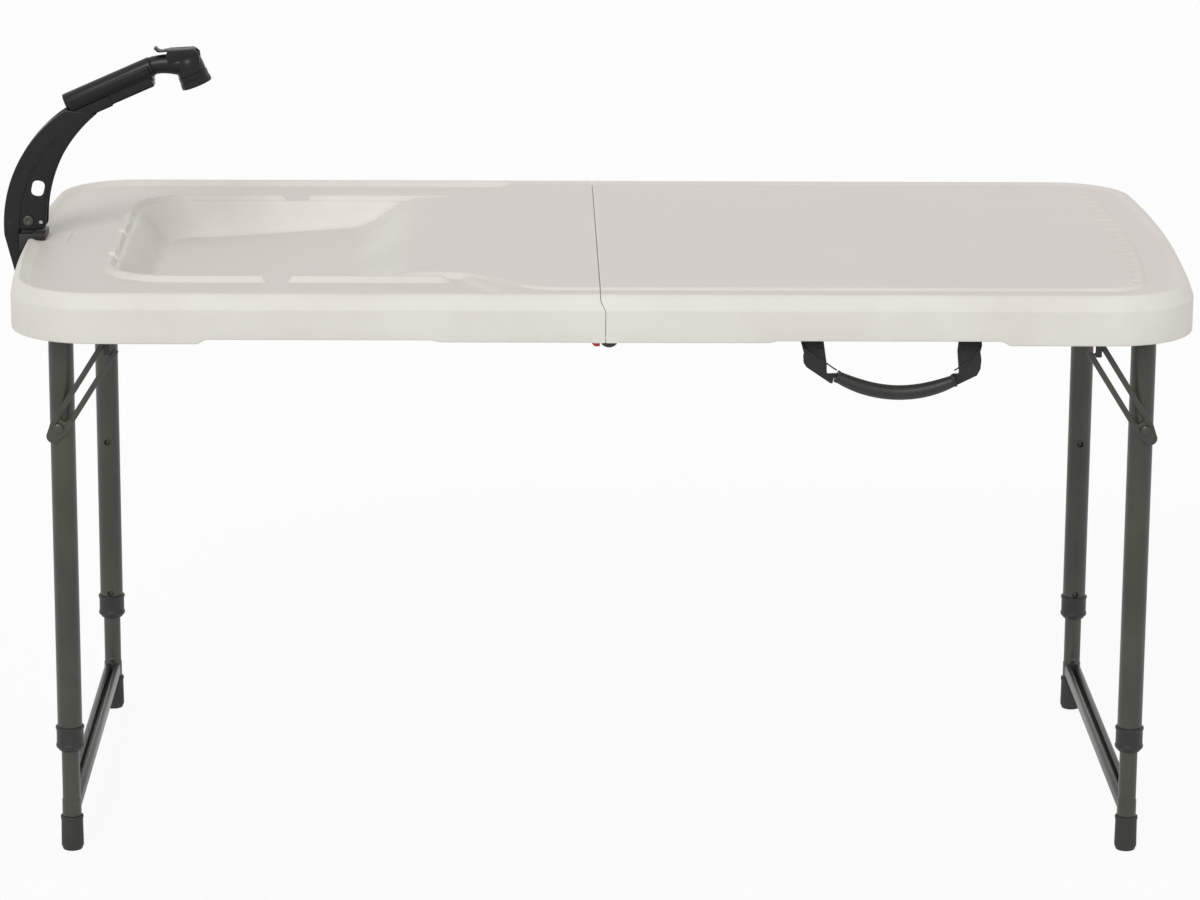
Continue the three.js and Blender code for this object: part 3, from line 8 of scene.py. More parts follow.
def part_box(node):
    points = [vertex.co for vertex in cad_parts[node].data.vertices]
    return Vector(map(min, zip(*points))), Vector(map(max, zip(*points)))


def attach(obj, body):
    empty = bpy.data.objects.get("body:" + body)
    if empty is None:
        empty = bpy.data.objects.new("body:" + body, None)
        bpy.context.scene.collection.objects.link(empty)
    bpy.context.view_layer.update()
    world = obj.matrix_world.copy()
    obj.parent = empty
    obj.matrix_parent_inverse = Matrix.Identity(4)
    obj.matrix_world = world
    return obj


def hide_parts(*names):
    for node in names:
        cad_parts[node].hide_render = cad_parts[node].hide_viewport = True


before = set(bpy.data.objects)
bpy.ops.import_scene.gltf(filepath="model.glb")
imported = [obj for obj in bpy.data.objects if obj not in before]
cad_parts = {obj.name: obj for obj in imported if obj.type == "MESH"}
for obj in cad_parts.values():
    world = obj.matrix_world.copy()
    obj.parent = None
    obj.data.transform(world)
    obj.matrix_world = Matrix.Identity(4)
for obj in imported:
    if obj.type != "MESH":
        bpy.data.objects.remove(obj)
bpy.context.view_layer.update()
middleX = (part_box("left_top")[0][0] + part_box("right_top")[1][0]) / 2  # metres, middle of the table's own x
print("frame loaded,", len(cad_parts), "nodes")


# Shader sockets that take part in Python sums

class Wire:
    def __init__(self, graph, socket):
        self.graph = graph
        self.socket = socket

    def math(self, operation, other=None, swapped=False):
        values = [self] if other is None else [other, self] if swapped else [self, other]
        return self.graph.node("ShaderNodeMath", {"operation": operation}, dict(enumerate(values)))

    def __add__(self, other):
        return self.math("ADD", other)

    def __sub__(self, other):
        return self.math("SUBTRACT", other)

    def __rsub__(self, other):
        return self.math("SUBTRACT", other, swapped=True)

    def __mul__(self, other):
        return self.math("MULTIPLY", other)

    def __truediv__(self, other):
        return self.math("DIVIDE", other)

    __radd__ = __add__
    __rmul__ = __mul__


class Graph:
    def __init__(self, tree):
        self.tree = tree
        tree.nodes.clear()

    def node(self, kind, settings=None, values=None, out=0):
        node = self.tree.nodes.new(kind)
        for key, value in (settings or {}).items():
            if key == "stops":
                for stop, (at, colour) in zip(list(node.color_ramp.elements), value):
                    stop.position, stop.color = at, colour
            else:
                setattr(node, key, value)
        for key, value in (values or {}).items():
            if isinstance(value, Wire):
                self.tree.links.new(value.socket, node.inputs[key])
            else:
                node.inputs[key].default_value = value
        return Wire(self, node.outputs[out]) if len(node.outputs) else None

    def other(self, wire, name):
        return Wire(self, wire.socket.node.outputs[name])

    def blend(self, factor, first, second):
        return self.node("ShaderNodeMix", {"data_type": "RGBA"}, {0: factor, 6: first, 7: second}, out=2)

    def noise(self, place, scale, detail=2.0, rough=0.5):
        return self.node("ShaderNodeTexNoise", None,
                         {"Vector": place, "Scale": scale, "Detail": detail, "Roughness": rough})

    def spread(self, wire, low, high, toLow=0.0, toHigh=1.0):
        return self.node("ShaderNodeMapRange", {"clamp": True},
                         {0: wire, 1: low, 2: high, 3: toLow, 4: toHigh})


def colour(red, green, blue):  # screen values from 0 to 255 to linear light
    def linear(value):
        share = value / 255
        return share / 12.92 if share <= 0.04045 else ((share + 0.055) / 1.055) ** 2.4
    return (linear(red), linear(green), linear(blue), 1.0)


def finishOf(name, slotName, build, **fixed):
    material = bpy.data.materials.new(name)
    material.use_nodes = True
    graph = Graph(material.node_tree)
    place = graph.other(graph.node("ShaderNodeTexCoord"), "Object")
    linked = build(graph, place)
    bump = linked.pop("bump", None)
    if bump:
        height, strength, distance = bump
        linked["Normal"] = graph.node("ShaderNodeBump", None,
                                      {"Strength": strength, "Distance": distance, "Height": height})
    surface = graph.node("ShaderNodeBsdfPrincipled", None, {**fixed, **linked})
    graph.node("ShaderNodeOutputMaterial", None, {"Surface": surface})
    return material, slotName


mould = {
    "light": colour(222, 219, 211),
    "shade": colour(214, 210, 202),
    # deck: painted shade, a darker tone for faces that point up, standing in for the weaker light on them
    "deck": colour(214, 207, 201),
    "speck": colour(176, 168, 160),
    "scuff": colour(196, 190, 182),
}


def mouldedPlastic(graph, place):
    normal = graph.other(graph.node("ShaderNodeNewGeometry"), "Normal")
    facing = graph.node("ShaderNodeSeparateXYZ", None, {0: normal}, out=2)
    # faces that point up: the mask for painted shade, and for the real specks and scuffs of the surface
    upward = graph.spread(facing, 0.86, 0.995)
    mottle = graph.spread(graph.noise(place, 9, 3, 0.6), 0.35, 0.7)
    grain = graph.noise(place, 1500, 2, 0.6)
    orange = graph.noise(place, 320, 2, 0.5)
    cells = graph.node("ShaderNodeTexVoronoi", None, {"Vector": place, "Scale": 210.0})
    speck = graph.spread(cells, 0.10, 0.17, 1.0, 0.0) * graph.spread(graph.noise(place, 60), 0.5, 0.62)
    streaked = graph.node("ShaderNodeMapping", None, {
        "Vector": place, "Scale": (3.0, 42.0, 3.0), "Rotation": (0.0, 0.0, 0.3)})
    scuffs = graph.spread(graph.noise(streaked, 9, 4, 0.7), 0.64, 0.74) * upward
    side = graph.blend(mottle, mould["light"], mould["shade"])
    # painted shade: faces that point up take the darker deck tone, as the key light falls on them less than on
    # the front faces
    shade = graph.blend(upward * 0.85, side, mould["deck"])
    shade = graph.blend(speck * upward * 0.55, shade, mould["speck"])
    shade = graph.blend(scuffs * 0.35, shade, mould["scuff"])
    return {
        "Base Color": shade,
        "Roughness": graph.spread(orange, 0.3, 0.7, 0.46, 0.58) + scuffs * 0.1,
        "bump": (grain * 0.5 + orange - speck * 0.4, 0.32, 0.0004),
    }


def powderCoat(graph, place):
    texture = graph.noise(place, 900, 3, 0.6)
    drift = graph.spread(graph.noise(place, 14, 3), 0.35, 0.65)
    worn = graph.spread(graph.noise(place, 70, 5, 0.7), 0.68, 0.76)
    shade = graph.blend(drift, colour(58, 58, 52), colour(68, 68, 61))
    return {
        "Base Color": graph.blend(worn * 0.5, shade, colour(92, 91, 84)),
        "Roughness": graph.spread(texture, 0.3, 0.7, 0.3, 0.42) + worn * 0.15,
        "bump": (texture, 0.16, 0.0004),
    }


def zincPlate(graph, place):
    brushed = graph.node("ShaderNodeMapping", None, {"Vector": place, "Scale": (1.0, 1.0, 14.0)})
    lines = graph.noise(brushed, 260, 3, 0.6)
    spots = graph.spread(graph.noise(place, 45, 4, 0.6), 0.55, 0.75)
    return {
        "Base Color": graph.blend(spots * 0.6, colour(196, 196, 190), colour(158, 156, 146)),
        "Roughness": graph.spread(lines, 0.3, 0.7, 0.24, 0.4) + spots * 0.15,
        "bump": (lines, 0.12, 0.0003),
    }


def shadeOfBlack(low, high, scale, rough, strength):
    def build(graph, place):
        grain = graph.noise(place, scale, 3, 0.6)
        drift = graph.spread(graph.noise(place, 22, 3), 0.35, 0.7)
        rubbed = graph.spread(graph.noise(place, 85, 4, 0.7), 0.62, 0.74)
        return {
            "Base Color": graph.blend(rubbed * 0.35, graph.blend(drift, low, high), colour(72, 71, 68)),
            "Roughness": graph.spread(grain, 0.3, 0.7, rough - 0.05, rough + 0.07) + rubbed * 0.08,
            "bump": (grain, strength, 0.0004),
        }
    return build


def wovenBand(graph, place):
    parts = graph.node("ShaderNodeSeparateXYZ", None, {0: place})
    across = graph.other(parts, "X") * 3600  # one rib every 1.75 mm
    along = graph.other(parts, "Z") * 2700
    warp = across.math("SINE")
    weft = along.math("SINE")
    weave = (warp * weft + 1) * 0.5
    ribs = (warp + 1) * 0.5
    fuzz = graph.noise(place, 1800, 3, 0.7)
    shade = graph.blend(weave * 0.7, colour(20, 20, 20), colour(44, 43, 42))
    return {
        "Base Color": graph.blend(graph.spread(fuzz, 0.5, 0.8) * 0.4, shade, colour(62, 61, 59)),
        "Roughness": graph.spread(fuzz, 0.3, 0.7, 0.78, 0.95),
        "bump": (weave + ribs * 0.5 + fuzz * 0.4, 0.7, 0.0005),
    }


def redTab(graph, place):
    grain = graph.noise(place, 1100, 2)
    drift = graph.spread(graph.noise(place, 60, 3), 0.35, 0.7)
    return {
        "Base Color": graph.blend(drift, colour(186, 38, 30), colour(160, 30, 26)),
        "Roughness": graph.spread(grain, 0.3, 0.7, 0.34, 0.46),
        "bump": (grain, 0.15, 0.0003),
    }


moulded = finishOf("mouldedPlastic", "moulded_top", mouldedPlastic, IOR=1.49)
coated = finishOf("powderCoatedSteel", "coated_steel", powderCoat, Metallic=0.25, IOR=1.5)
plated = finishOf("zincPlatedSteel", "plated_steel", zincPlate, Metallic=1.0)
black = finishOf("blackMouldedPlastic", "black_plastic",
                 shadeOfBlack(colour(24, 24, 23), colour(31, 31, 29), 700, 0.46, 0.25), IOR=1.49)
satin = finishOf("satinFaucetPlastic", "faucet_plastic",
                 shadeOfBlack(colour(15, 15, 16), colour(21, 21, 21), 1200, 0.34, 0.12), IOR=1.5,
                 **{"Specular IOR Level": 0.3})
rubber = finishOf("blackRubber", "black_rubber",
                  shadeOfBlack(colour(35, 35, 33), colour(43, 43, 40), 500, 0.66, 0.35), IOR=1.5)
band = finishOf("wovenWebbing", "webbing", wovenBand, **{"Sheen Weight": 0.2})
red = finishOf("redPlastic", "red_plastic", redTab, IOR=1.49)
print("finishes made")


# Shapes are pairs of points and faces in the table's millimetres

def placed(name, data):
    made = bpy.data.objects.new(name, data)
    bpy.context.collection.objects.link(made)
    return made


def settle(name, mesh, look, body, node, sharp=35):
    work = bmesh.new()
    work.from_mesh(mesh)
    bmesh.ops.remove_doubles(work, verts=work.verts, dist=4e-6)
    bmesh.ops.dissolve_degenerate(work, dist=1e-6, edges=work.edges)
    bmesh.ops.recalc_face_normals(work, faces=work.faces)
    work.to_mesh(mesh)
    work.free()
    mesh.materials.clear()
    mesh.materials.append(look[0])
    mesh.shade_smooth()
    mesh.set_sharp_from_angle(angle=math.radians(sharp))
    piece = placed(name, mesh)
    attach(piece, body)
    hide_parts(node)
    return piece


def meshOf(name, shape, scale=1.0):
    mesh = bpy.data.meshes.new(name)
    mesh.from_pydata([Vector(p) * scale for p in shape[0]], [], shape[1])
    return mesh


def newPiece(name, shape, look, body, node, sharp=35):
    mesh = meshOf(name, shape, 0.001)
    mesh.transform(Matrix.Translation((middleX, 0, 0)))
    return settle(name, mesh, look, body, node, sharp)


def merge(*shapes):
    points, faces = [], []
    for morePoints, moreFaces in shapes:
        start = len(points)
        points += list(morePoints)
        faces += [tuple(i + start for i in face) for face in moreFaces]
    return points, faces


def moved(shape, change):
    return [change(Vector(p)) for p in shape[0]], shape[1]


def shifted(shape, step):
    return moved(shape, lambda p: p + Vector(step))


def tilted(shape, angle, at):
    turn = Matrix.Rotation(-angle, 3, "Y")
    return moved(shape, lambda p: turn @ p + at)


def grid(rows, loop=False):
    points = [p for row in rows for p in row]
    width = len(rows[0])
    faces = []
    for r in range(len(rows) - 1):
        for c in range(width if loop else width - 1):
            a, b = r * width + c, r * width + (c + 1) % width
            faces.append((a, b, b + width, a + width))
    return points, faces


def lathe(profile, at=(0, 0, 0), axis=(0, 0, 1), sides=48):
    turn = Vector((0, 0, 1)).rotation_difference(Vector(axis))
    base = Vector(at)
    rows = []
    for radius, height in profile:
        rows.append([base + turn @ Vector((radius * math.cos(2 * math.pi * k / sides),
                                           radius * math.sin(2 * math.pi * k / sides), height))
                     for k in range(sides)])
    return grid(rows, loop=True)


def sweep(path, section, up, scales=None):
    stations = [Vector(p) for p in path]
    last = len(stations) - 1
    rows = []
    for k, here in enumerate(stations):
        back = (here - stations[max(k - 1, 0)]).normalized()
        ahead = (stations[min(k + 1, last)] - here).normalized()
        along = (back + ahead).normalized()
        side = along.cross(Vector(up)).normalized()
        over = side.cross(along).normalized()
        grow = scales[k] if scales else 1
        stretch = 1 / max(back.dot(along), 0.5) if 0 < k < last else 1  # keeps the width through a bend
        rows.append([here + side * a * grow * stretch + over * b * grow for a, b in section])
    points, faces = grid(rows, loop=True)
    width = len(section)
    caps = [tuple(range(width))[::-1], tuple(range(last * width, (last + 1) * width))]
    return points, faces + caps


def ring(radius, sides=40):
    turns = [2 * math.pi * k / sides for k in range(sides)]
    return [(radius * math.cos(a), radius * math.sin(a)) for a in turns]


def shell(path, outer, inner, up, sides=40):
    last = len(path) - 1
    outside, inside = sweep(path, ring(outer, sides), up), sweep(path, ring(inner, sides), up)
    points, faces = merge((outside[0], outside[1][:-2]), (inside[0], inside[1][:-2]))
    offset = len(outside[0])
    for row in (0, last):
        for c in range(sides):
            a, b = row * sides + c, row * sides + (c + 1) % sides
            faces.append((a, b, b + offset, a + offset))
    return points, faces


def arc(centre, radius, start, end, steps):
    angles = [start + (end - start) * k / steps for k in range(steps + 1)]
    return [(centre[0] + radius * math.cos(a), centre[1] + radius * math.sin(a)) for a in angles]


def curve(first, corner, last, share):
    return first * (1 - share) ** 2 + corner * 2 * share * (1 - share) + last * share ** 2


def rounded(corners, radius, steps=5):
    radii = radius if isinstance(radius, (list, tuple)) else [radius] * len(corners)
    line = []
    for k, corner in enumerate(corners):
        here = Vector(corner)
        back = Vector(corners[k - 1]) - here
        ahead = Vector(corners[(k + 1) % len(corners)]) - here
        room = min(back.length, ahead.length) * 0.49
        half = back.angle(ahead) / 2
        if radii[k] <= 0 or half > 1.56:
            line.append(tuple(here))
            continue
        cutBack = min(radii[k] / math.tan(half), room)
        first, second = here + back.normalized() * cutBack, here + ahead.normalized() * cutBack
        line += [tuple(curve(first, here, second, n / steps)) for n in range(steps + 1)]
    return line


def prism(outline, plane, low, high, bevel=0.0, segments=2):
    def lift(a, b, depth):
        return {"xz": (a, depth, b), "yz": (depth, a, b), "xy": (a, b, depth)}[plane]
    count = len(outline)
    points = [lift(a, b, low) for a, b in outline] + [lift(a, b, high) for a, b in outline]
    sides = [(k, (k + 1) % count, (k + 1) % count + count, k + count) for k in range(count)]
    faces = [tuple(range(count))[::-1], tuple(range(count, 2 * count))] + sides
    if not bevel:
        return points, faces
    work = bmesh.new()
    corners = [work.verts.new(p) for p in points]
    made = [work.faces.new([corners[k] for k in face]) for face in faces]
    bmesh.ops.recalc_face_normals(work, faces=work.faces)
    edges = list({edge for face in made[:2] for edge in face.edges})
    bmesh.ops.bevel(work, geom=edges, offset=bevel, segments=segments, profile=0.5, affect="EDGES",
                    clamp_overlap=True)
    work.verts.ensure_lookup_table()
    shape = [v.co.copy() for v in work.verts], [tuple(v.index for v in f.verts) for f in work.faces]
    work.free()
    return shape


def block(low, high, bevel=0.0):
    outline = [(low[0], low[1]), (high[0], low[1]), (high[0], high[1]), (low[0], high[1])]
    return prism(rounded(outline, bevel) if bevel else outline, "xy", low[2], high[2], bevel * 0.8)


def rod(start, end, radius, sides=32, bevel=0.0):
    axis = Vector(end) - Vector(start)
    long = axis.length
    inner = radius - bevel
    profile = [(0, 0), (inner, 0), (radius, bevel), (radius, long - bevel), (inner, long), (0, long)]
    return lathe(profile, start, axis.normalized(), sides)


def helper(shape):
    mesh = meshOf("helper", shape)
    work = bmesh.new()
    work.from_mesh(mesh)
    bmesh.ops.remove_doubles(work, verts=work.verts, dist=1e-4)
    bmesh.ops.recalc_face_normals(work, faces=work.faces)
    work.to_mesh(mesh)
    work.free()
    return placed("helper", mesh)


def evaluated(obj):
    bpy.context.view_layer.update()
    mesh = bpy.data.meshes.new_from_object(obj.evaluated_get(bpy.context.evaluated_depsgraph_get()))
    return [v.co.copy() for v in mesh.vertices], [tuple(f.vertices) for f in mesh.polygons]


def combined(shape, changes):  # changes are pairs of DIFFERENCE or UNION and a shape
    base = helper(shape)
    others = []
    for operation, other in changes:
        tool = helper(other)
        others.append(tool)
        step = base.modifiers.new("step", "BOOLEAN")
        step.operation, step.solver, step.object = operation, "EXACT", tool
    result = evaluated(base)
    for obj in [base, *others]:
        bpy.data.objects.remove(obj)
    return result


def without(shape, tools):
    return combined(shape, [("DIFFERENCE", tool) for tool in tools])


def softened(node, look, body, bevel):  # the CAD node's own form with its edges broken
    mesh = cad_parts[node].data.copy()
    work = bmesh.new()
    work.from_mesh(mesh)
    bmesh.ops.remove_doubles(work, verts=work.verts, dist=2e-6)
    bmesh.ops.dissolve_limit(work, angle_limit=math.radians(1), verts=work.verts, edges=work.edges)
    edges = [e for e in work.edges if len(e.link_faces) == 2 and e.calc_face_angle(0) > math.radians(40)]
    bmesh.ops.bevel(work, geom=edges, offset=bevel / 1000, segments=2, profile=0.5, affect="EDGES",
                    clamp_overlap=True)
    work.to_mesh(mesh)
    work.free()
    return settle(node + "_fine", mesh, look, body, node)


# Repeats made with Geometry Nodes, each with named inputs

def repeatTree(name, inputs, build):
    tree = bpy.data.node_groups.new(name, "GeometryNodeTree")
    for label, kind in inputs:
        tree.interface.new_socket(label, in_out="INPUT", socket_type=kind)
    tree.interface.new_socket("Geometry", in_out="OUTPUT", socket_type="NodeSocketGeometry")
    graph = Graph(tree)
    given = graph.node("NodeGroupInput")
    wires = {label: graph.other(given, label) for label, _ in inputs}
    points, turn, stretch = build(graph, wires)
    part = graph.node("GeometryNodeObjectInfo", None, {"Object": wires["Part"]}, out="Geometry")
    values = {"Points": points, "Instance": part}
    if turn:
        values["Rotation"] = turn
    if stretch:
        values["Scale"] = stretch
    copies = graph.node("GeometryNodeInstanceOnPoints", None, values)
    solid = graph.node("GeometryNodeRealizeInstances", None, {"Geometry": copies})
    painted = graph.node("GeometryNodeSetMaterial", None, {"Geometry": solid, "Material": wires["Finish"]})
    graph.node("NodeGroupOutput", None, {0: painted})
    return tree


def rowOfMarks(graph, wires):
    start = (wires["Count"] - 1) * wires["Pitch"] * -0.5
    line = graph.node("GeometryNodeMeshLine", None, {
        "Count": wires["Count"], "Start Location": graph.node("ShaderNodeCombineXYZ", None, {1: start}),
        "Offset": graph.node("ShaderNodeCombineXYZ", None, {1: wires["Pitch"]})})
    height = graph.node("ShaderNodeSeparateXYZ", None, {0: graph.node("GeometryNodeInputPosition")}, out=1)
    share = height / wires["HalfWidth"]
    shift = graph.node("ShaderNodeCombineXYZ", None, {0: share * share * wires["Bow"] * -1})
    bowed = graph.node("GeometryNodeSetPosition", None, {"Geometry": line, "Offset": shift})
    index = graph.node("GeometryNodeInputIndex")
    onBeat = graph.node("ShaderNodeMath", {"operation": "COMPARE"},
                        {0: index.math("MODULO", wires["LongEvery"]), 1: 0.0, 2: 0.1})
    inner = index.math("GREATER_THAN", 0.5) * index.math("LESS_THAN", wires["Count"] - 1.5)
    longer = onBeat * inner * (wires["Stretch"] - 1) + 1
    return bowed, None, graph.node("ShaderNodeCombineXYZ", None, {0: longer, 1: 1.0, 2: 1.0})


def roundOfParts(graph, wires):
    circle = {"Vertices": wires["Count"], "Radius": wires["Radius"]}
    around = graph.node("GeometryNodeMeshCircle", None, circle)
    turn = graph.node("GeometryNodeInputIndex") * (2 * math.pi) / wires["Count"]
    return around, graph.node("ShaderNodeCombineXYZ", None, {2: turn}), None


common = [("Part", "NodeSocketObject"), ("Finish", "NodeSocketMaterial"), ("Count", "NodeSocketInt")]
floats = ("Pitch", "Bow", "HalfWidth", "LongEvery", "Stretch")
marksTree = repeatTree("marksInARow", common + [(label, "NodeSocketFloat") for label in floats], rowOfMarks)
roundTree = repeatTree("partsInARound", common + [("Radius", "NodeSocketFloat")], roundOfParts)


def repeated(tree, part, look, values):  # one shape repeated by a tree, back as points and faces
    source = helper(part)
    carrier = helper(([(0, 0, 0)], []))
    layer = carrier.modifiers.new("repeat", "NODES")
    layer.node_group = tree
    chosen = {"Part": source, "Finish": look[0], **values}
    for item in tree.interface.items_tree:
        if item.in_out == "INPUT":
            layer[item.identifier] = chosen[item.name]
    result = evaluated(carrier)
    carrier.modifiers.remove(layer)
    bpy.data.objects.remove(carrier)
    bpy.data.objects.remove(source)
    return result


# The two moulded halves. u runs from the seam towards the end, inset inwards from the outline.

top = {
    "deck": 602, "groove": 599, "channel": 595.5, "crest": 601.5, "edge": 587, "skirt": 553, "panel": 582,
    "length": 608, "width": 305, "bow": 18, "corner": 88, "edgeRadius": 1.8, "edgeTurn": 1.3,
    "chamfer": ((0, 0), (1.2, 0.13), (7, 0.9), (8.4, 0.98), (9.6, 1), (700, 1)),
    "crestEnd": 11, "crestFoot": 21, "channelEnd": 116, "channelRamp": 14, "channelTurn": 240,
    "padStart": 560, "padHalf": 25, "padLevel": 597, "padSlope": 6,
    "seamTop": (-4, 595), "seamLap": (1, 586), "seamGap": 0.6, "seamRound": 0.8, "seamEdge": 1.3,
    "seamFade": 40,
    "legY": 242, "recess": 14, "recessSlope": 1.2, "recessEnd": 18, "wallInset": 30,
    "hingeY": 150, "hingeHalf": 30.3, "hingeReach": 15.6, "knuckle": 4.4, "knuckleEnd": 3.7, "leaf": 2.3,
    "pocket": (1.4, 14.8), "pocketRadius": 6.79, "pocketEnd": 6.8, "lipEnd": 20, "lipRise": 29,
    "liftSlope": 5,
    "tackRadius": 11, "tackTip": 6, "tackDepth": 9, "tackY": (-152.5, 0, 152.5),
    "tackX": {-1: (73, 133.8), 1: (97.3, 206.7, 316.2, 425.6)},
    "lift": ((0, 0.5), (164, 0.5), (172, 2.5), (397, 2.5), (405, -2), (700, -2)),
    "lip": ((0, 2), (0.15, 1.3), (0.5, 0.65), (1, 0.27), (1.8, 0.02), (2.8, 0), (10.2, 0), (11.3, 0.1),
            (12.3, 0.5), (13, 1.6), (17, 26.2), (18, 28), (20, 29)),
    "seamLip": ((0, 0.8), (0.6, 0.2), (1.3, 0), (11, 0), (12.2, 0.4), (13, 1.8), (14, 27), (15.5, 29)),
}
raised = {"length": 560, "width": 266, "corner": 42, "flareStart": 50, "flareEnd": 156, "flareWidth": 196,
          "rampReach": 215, "outside": 2.6, "inside": 1.4}
sink = {"left": -501, "right": -190, "halfWidth": 207, "corner": 60, "floorCorner": 38, "depth": 44,
        "rampDepth": 34, "flat": -420.1, "rampFoot": -272.1, "endDraft": 31, "sideDraft": 18, "wall": 4,
        "fillet": 8, "lipRound": 2, "underRound": 3, "rampLead": 0.5, "drainCut": 17}
bead = {"offset": 5.5, "half": 6, "slope": 3.0, "rise": 6.0, "reach": 13, "end": -150, "fade": 16,
        "sideGap": (-345, -315), "sideStart": -430, "sideInset": 20, "sideSlope": 5,
        "endGaps": (128, 10, -108), "endStop": -470, "gapHalf": 8, "gapSlope": 3}
drainPlace = (-440.36, -109.71)
slope = math.atan(2 * top["bow"] * (top["width"] - top["corner"]) / top["width"] ** 2)


def clamp(value, low=0.0, high=1.0):
    return max(low, min(high, value))


def ease(value):
    share = clamp(value)
    return share * share * (3 - 2 * share)


def along(table, value):
    for (a, first), (b, second) in zip(table, table[1:]):
        if value <= b:
            return first + (second - first) * clamp((value - a) / (b - a))
    return table[-1][1]


def softMin(a, b, reach):
    share = clamp(0.5 + 0.5 * (b - a) / reach)
    return b + (a - b) * share - reach * share * (1 - share)


def endLine(length, width, corner):
    cornerY = width - corner
    tangentY = cornerY + corner * math.sin(slope)
    cornerX = length - top["bow"] * (tangentY / width) ** 2 - corner * math.cos(slope)
    return cornerX, cornerY, tangentY


cornerX, cornerY, tangentY = endLine(top["length"], top["width"], top["corner"])
deckCornerX, deckCornerY, _ = endLine(raised["length"], raised["width"], raised["corner"])


def insideDeck(side, u, y):
    if side < 0:
        share = clamp((u - raised["flareStart"]) / (raised["flareEnd"] - raised["flareStart"]))
        draw = raised["width"] - raised["flareWidth"]
        edge = raised["flareWidth"] + draw * (1 + math.cos(math.pi * share)) / 2
        lean = math.pi * draw * math.sin(math.pi * share) / 2 / (raised["flareEnd"] - raised["flareStart"])
        return min((edge - abs(y)) / math.hypot(1, lean), raised["rampReach"] - u)
    dx, dy = u - deckCornerX, abs(y) - deckCornerY
    if dx > 0 and dy > 0 and math.atan2(dy, dx) > slope:
        return raised["corner"] - math.hypot(dx, dy)
    end = raised["length"] - top["bow"] * (y / raised["width"]) ** 2 - u
    return min(raised["width"] - abs(y), end)


def insideSink(x, y, share=0.0, grow=0.0):
    radius = sink["corner"] + (sink["floorCorner"] - sink["corner"]) * share + grow
    inX = x - (sink["left"] + sink["endDraft"] * share - grow)
    inY = sink["halfWidth"] - sink["sideDraft"] * share + grow - abs(y)
    if inX < radius and inY < radius:
        return radius - math.hypot(radius - inX, radius - inY)
    return min(inX, inY)


def sinkDepth(x, y, grow=0.0):
    fall = sink["depth"] / sink["sideDraft"]
    edge = insideSink(x, y, 0, grow)
    if edge <= 0:
        return edge * fall
    deep = insideSink(x, y, 1, grow)
    wall = sink["depth"] + deep * fall
    if deep < 0:
        low, high = 0.0, 1.0
        for _ in range(12):
            middle = (low + high) / 2
            low, high = (middle, high) if insideSink(x, y, middle, grow) > 0 else (low, middle)
        wall = sink["depth"] * low
    foot, end = sink["rampFoot"], sink["right"]
    if x < sink["flat"]:
        floor = sink["depth"]
    elif x < foot:
        share = (x - sink["flat"]) / (foot - sink["flat"])
        floor = sink["depth"] + (sink["rampDepth"] - sink["depth"]) * share
    elif x < end:
        floor = sink["rampDepth"] * (1 + math.cos(math.pi * (x - foot) / (end - foot))) / 2
    else:
        floor = (end - x) * sink["rampLead"]
    return softMin(wall, floor, sink["fillet"])


def beadRise(x, y):
    out = -insideSink(x, y)
    if not -1 < out < bead["reach"] or x > bead["end"]:
        return 0
    rise = ease((bead["half"] - abs(out - bead["offset"])) / bead["slope"])
    rise *= ease((bead["end"] - x) / bead["fade"])
    low, high = bead["sideGap"]
    if abs(y) > sink["halfWidth"] - bead["sideInset"] and x > bead["sideStart"]:
        rise *= 1 - ease((x - low) / bead["sideSlope"]) * ease((high - x) / bead["sideSlope"])
    if x < bead["endStop"]:
        for middle in bead["endGaps"]:
            rise *= 1 - ease((bead["gapHalf"] - abs(y - middle)) / bead["gapSlope"])
    return bead["rise"] * rise


def overSide(side, u, y, inset, t):
    level, crest = top["groove"], top["crest"]
    if side < 0:
        past = u - top["channelEnd"] + (abs(y) - top["channelTurn"]) * 0.5
        level += (top["channel"] - level) * ease(past / top["channelRamp"])
        if u > top["padStart"]:  # a flat seat for the faucet's clamp
            seat = ease((top["padHalf"] + top["padSlope"] - abs(y)) / top["padSlope"])
            crest += (top["padLevel"] - crest) * seat
            level += (top["padLevel"] - level) * seat
    turn = max(1 - inset / top["edgeRadius"], 0)
    z = top["edge"] + (crest - top["edge"]) * along(top["chamfer"], inset)
    z -= top["edgeTurn"] * (1 - math.sqrt(1 - turn * turn))
    z += (level - crest) * ease((inset - top["crestEnd"]) / (top["crestFoot"] - top["crestEnd"]))
    inside = insideDeck(side, u, y)
    z += (top["deck"] - z) * ease((inside + raised["outside"]) / (raised["outside"] + raised["inside"]))
    if side < 0 and 140 < u < 530 and abs(y) < 222:
        z = softMin(z + beadRise(-u, y), top["deck"] - sinkDepth(-u, y), sink["lipRound"])
    return z - top["seamRound"] * max(1 - t / top["seamEdge"], 0) ** 2


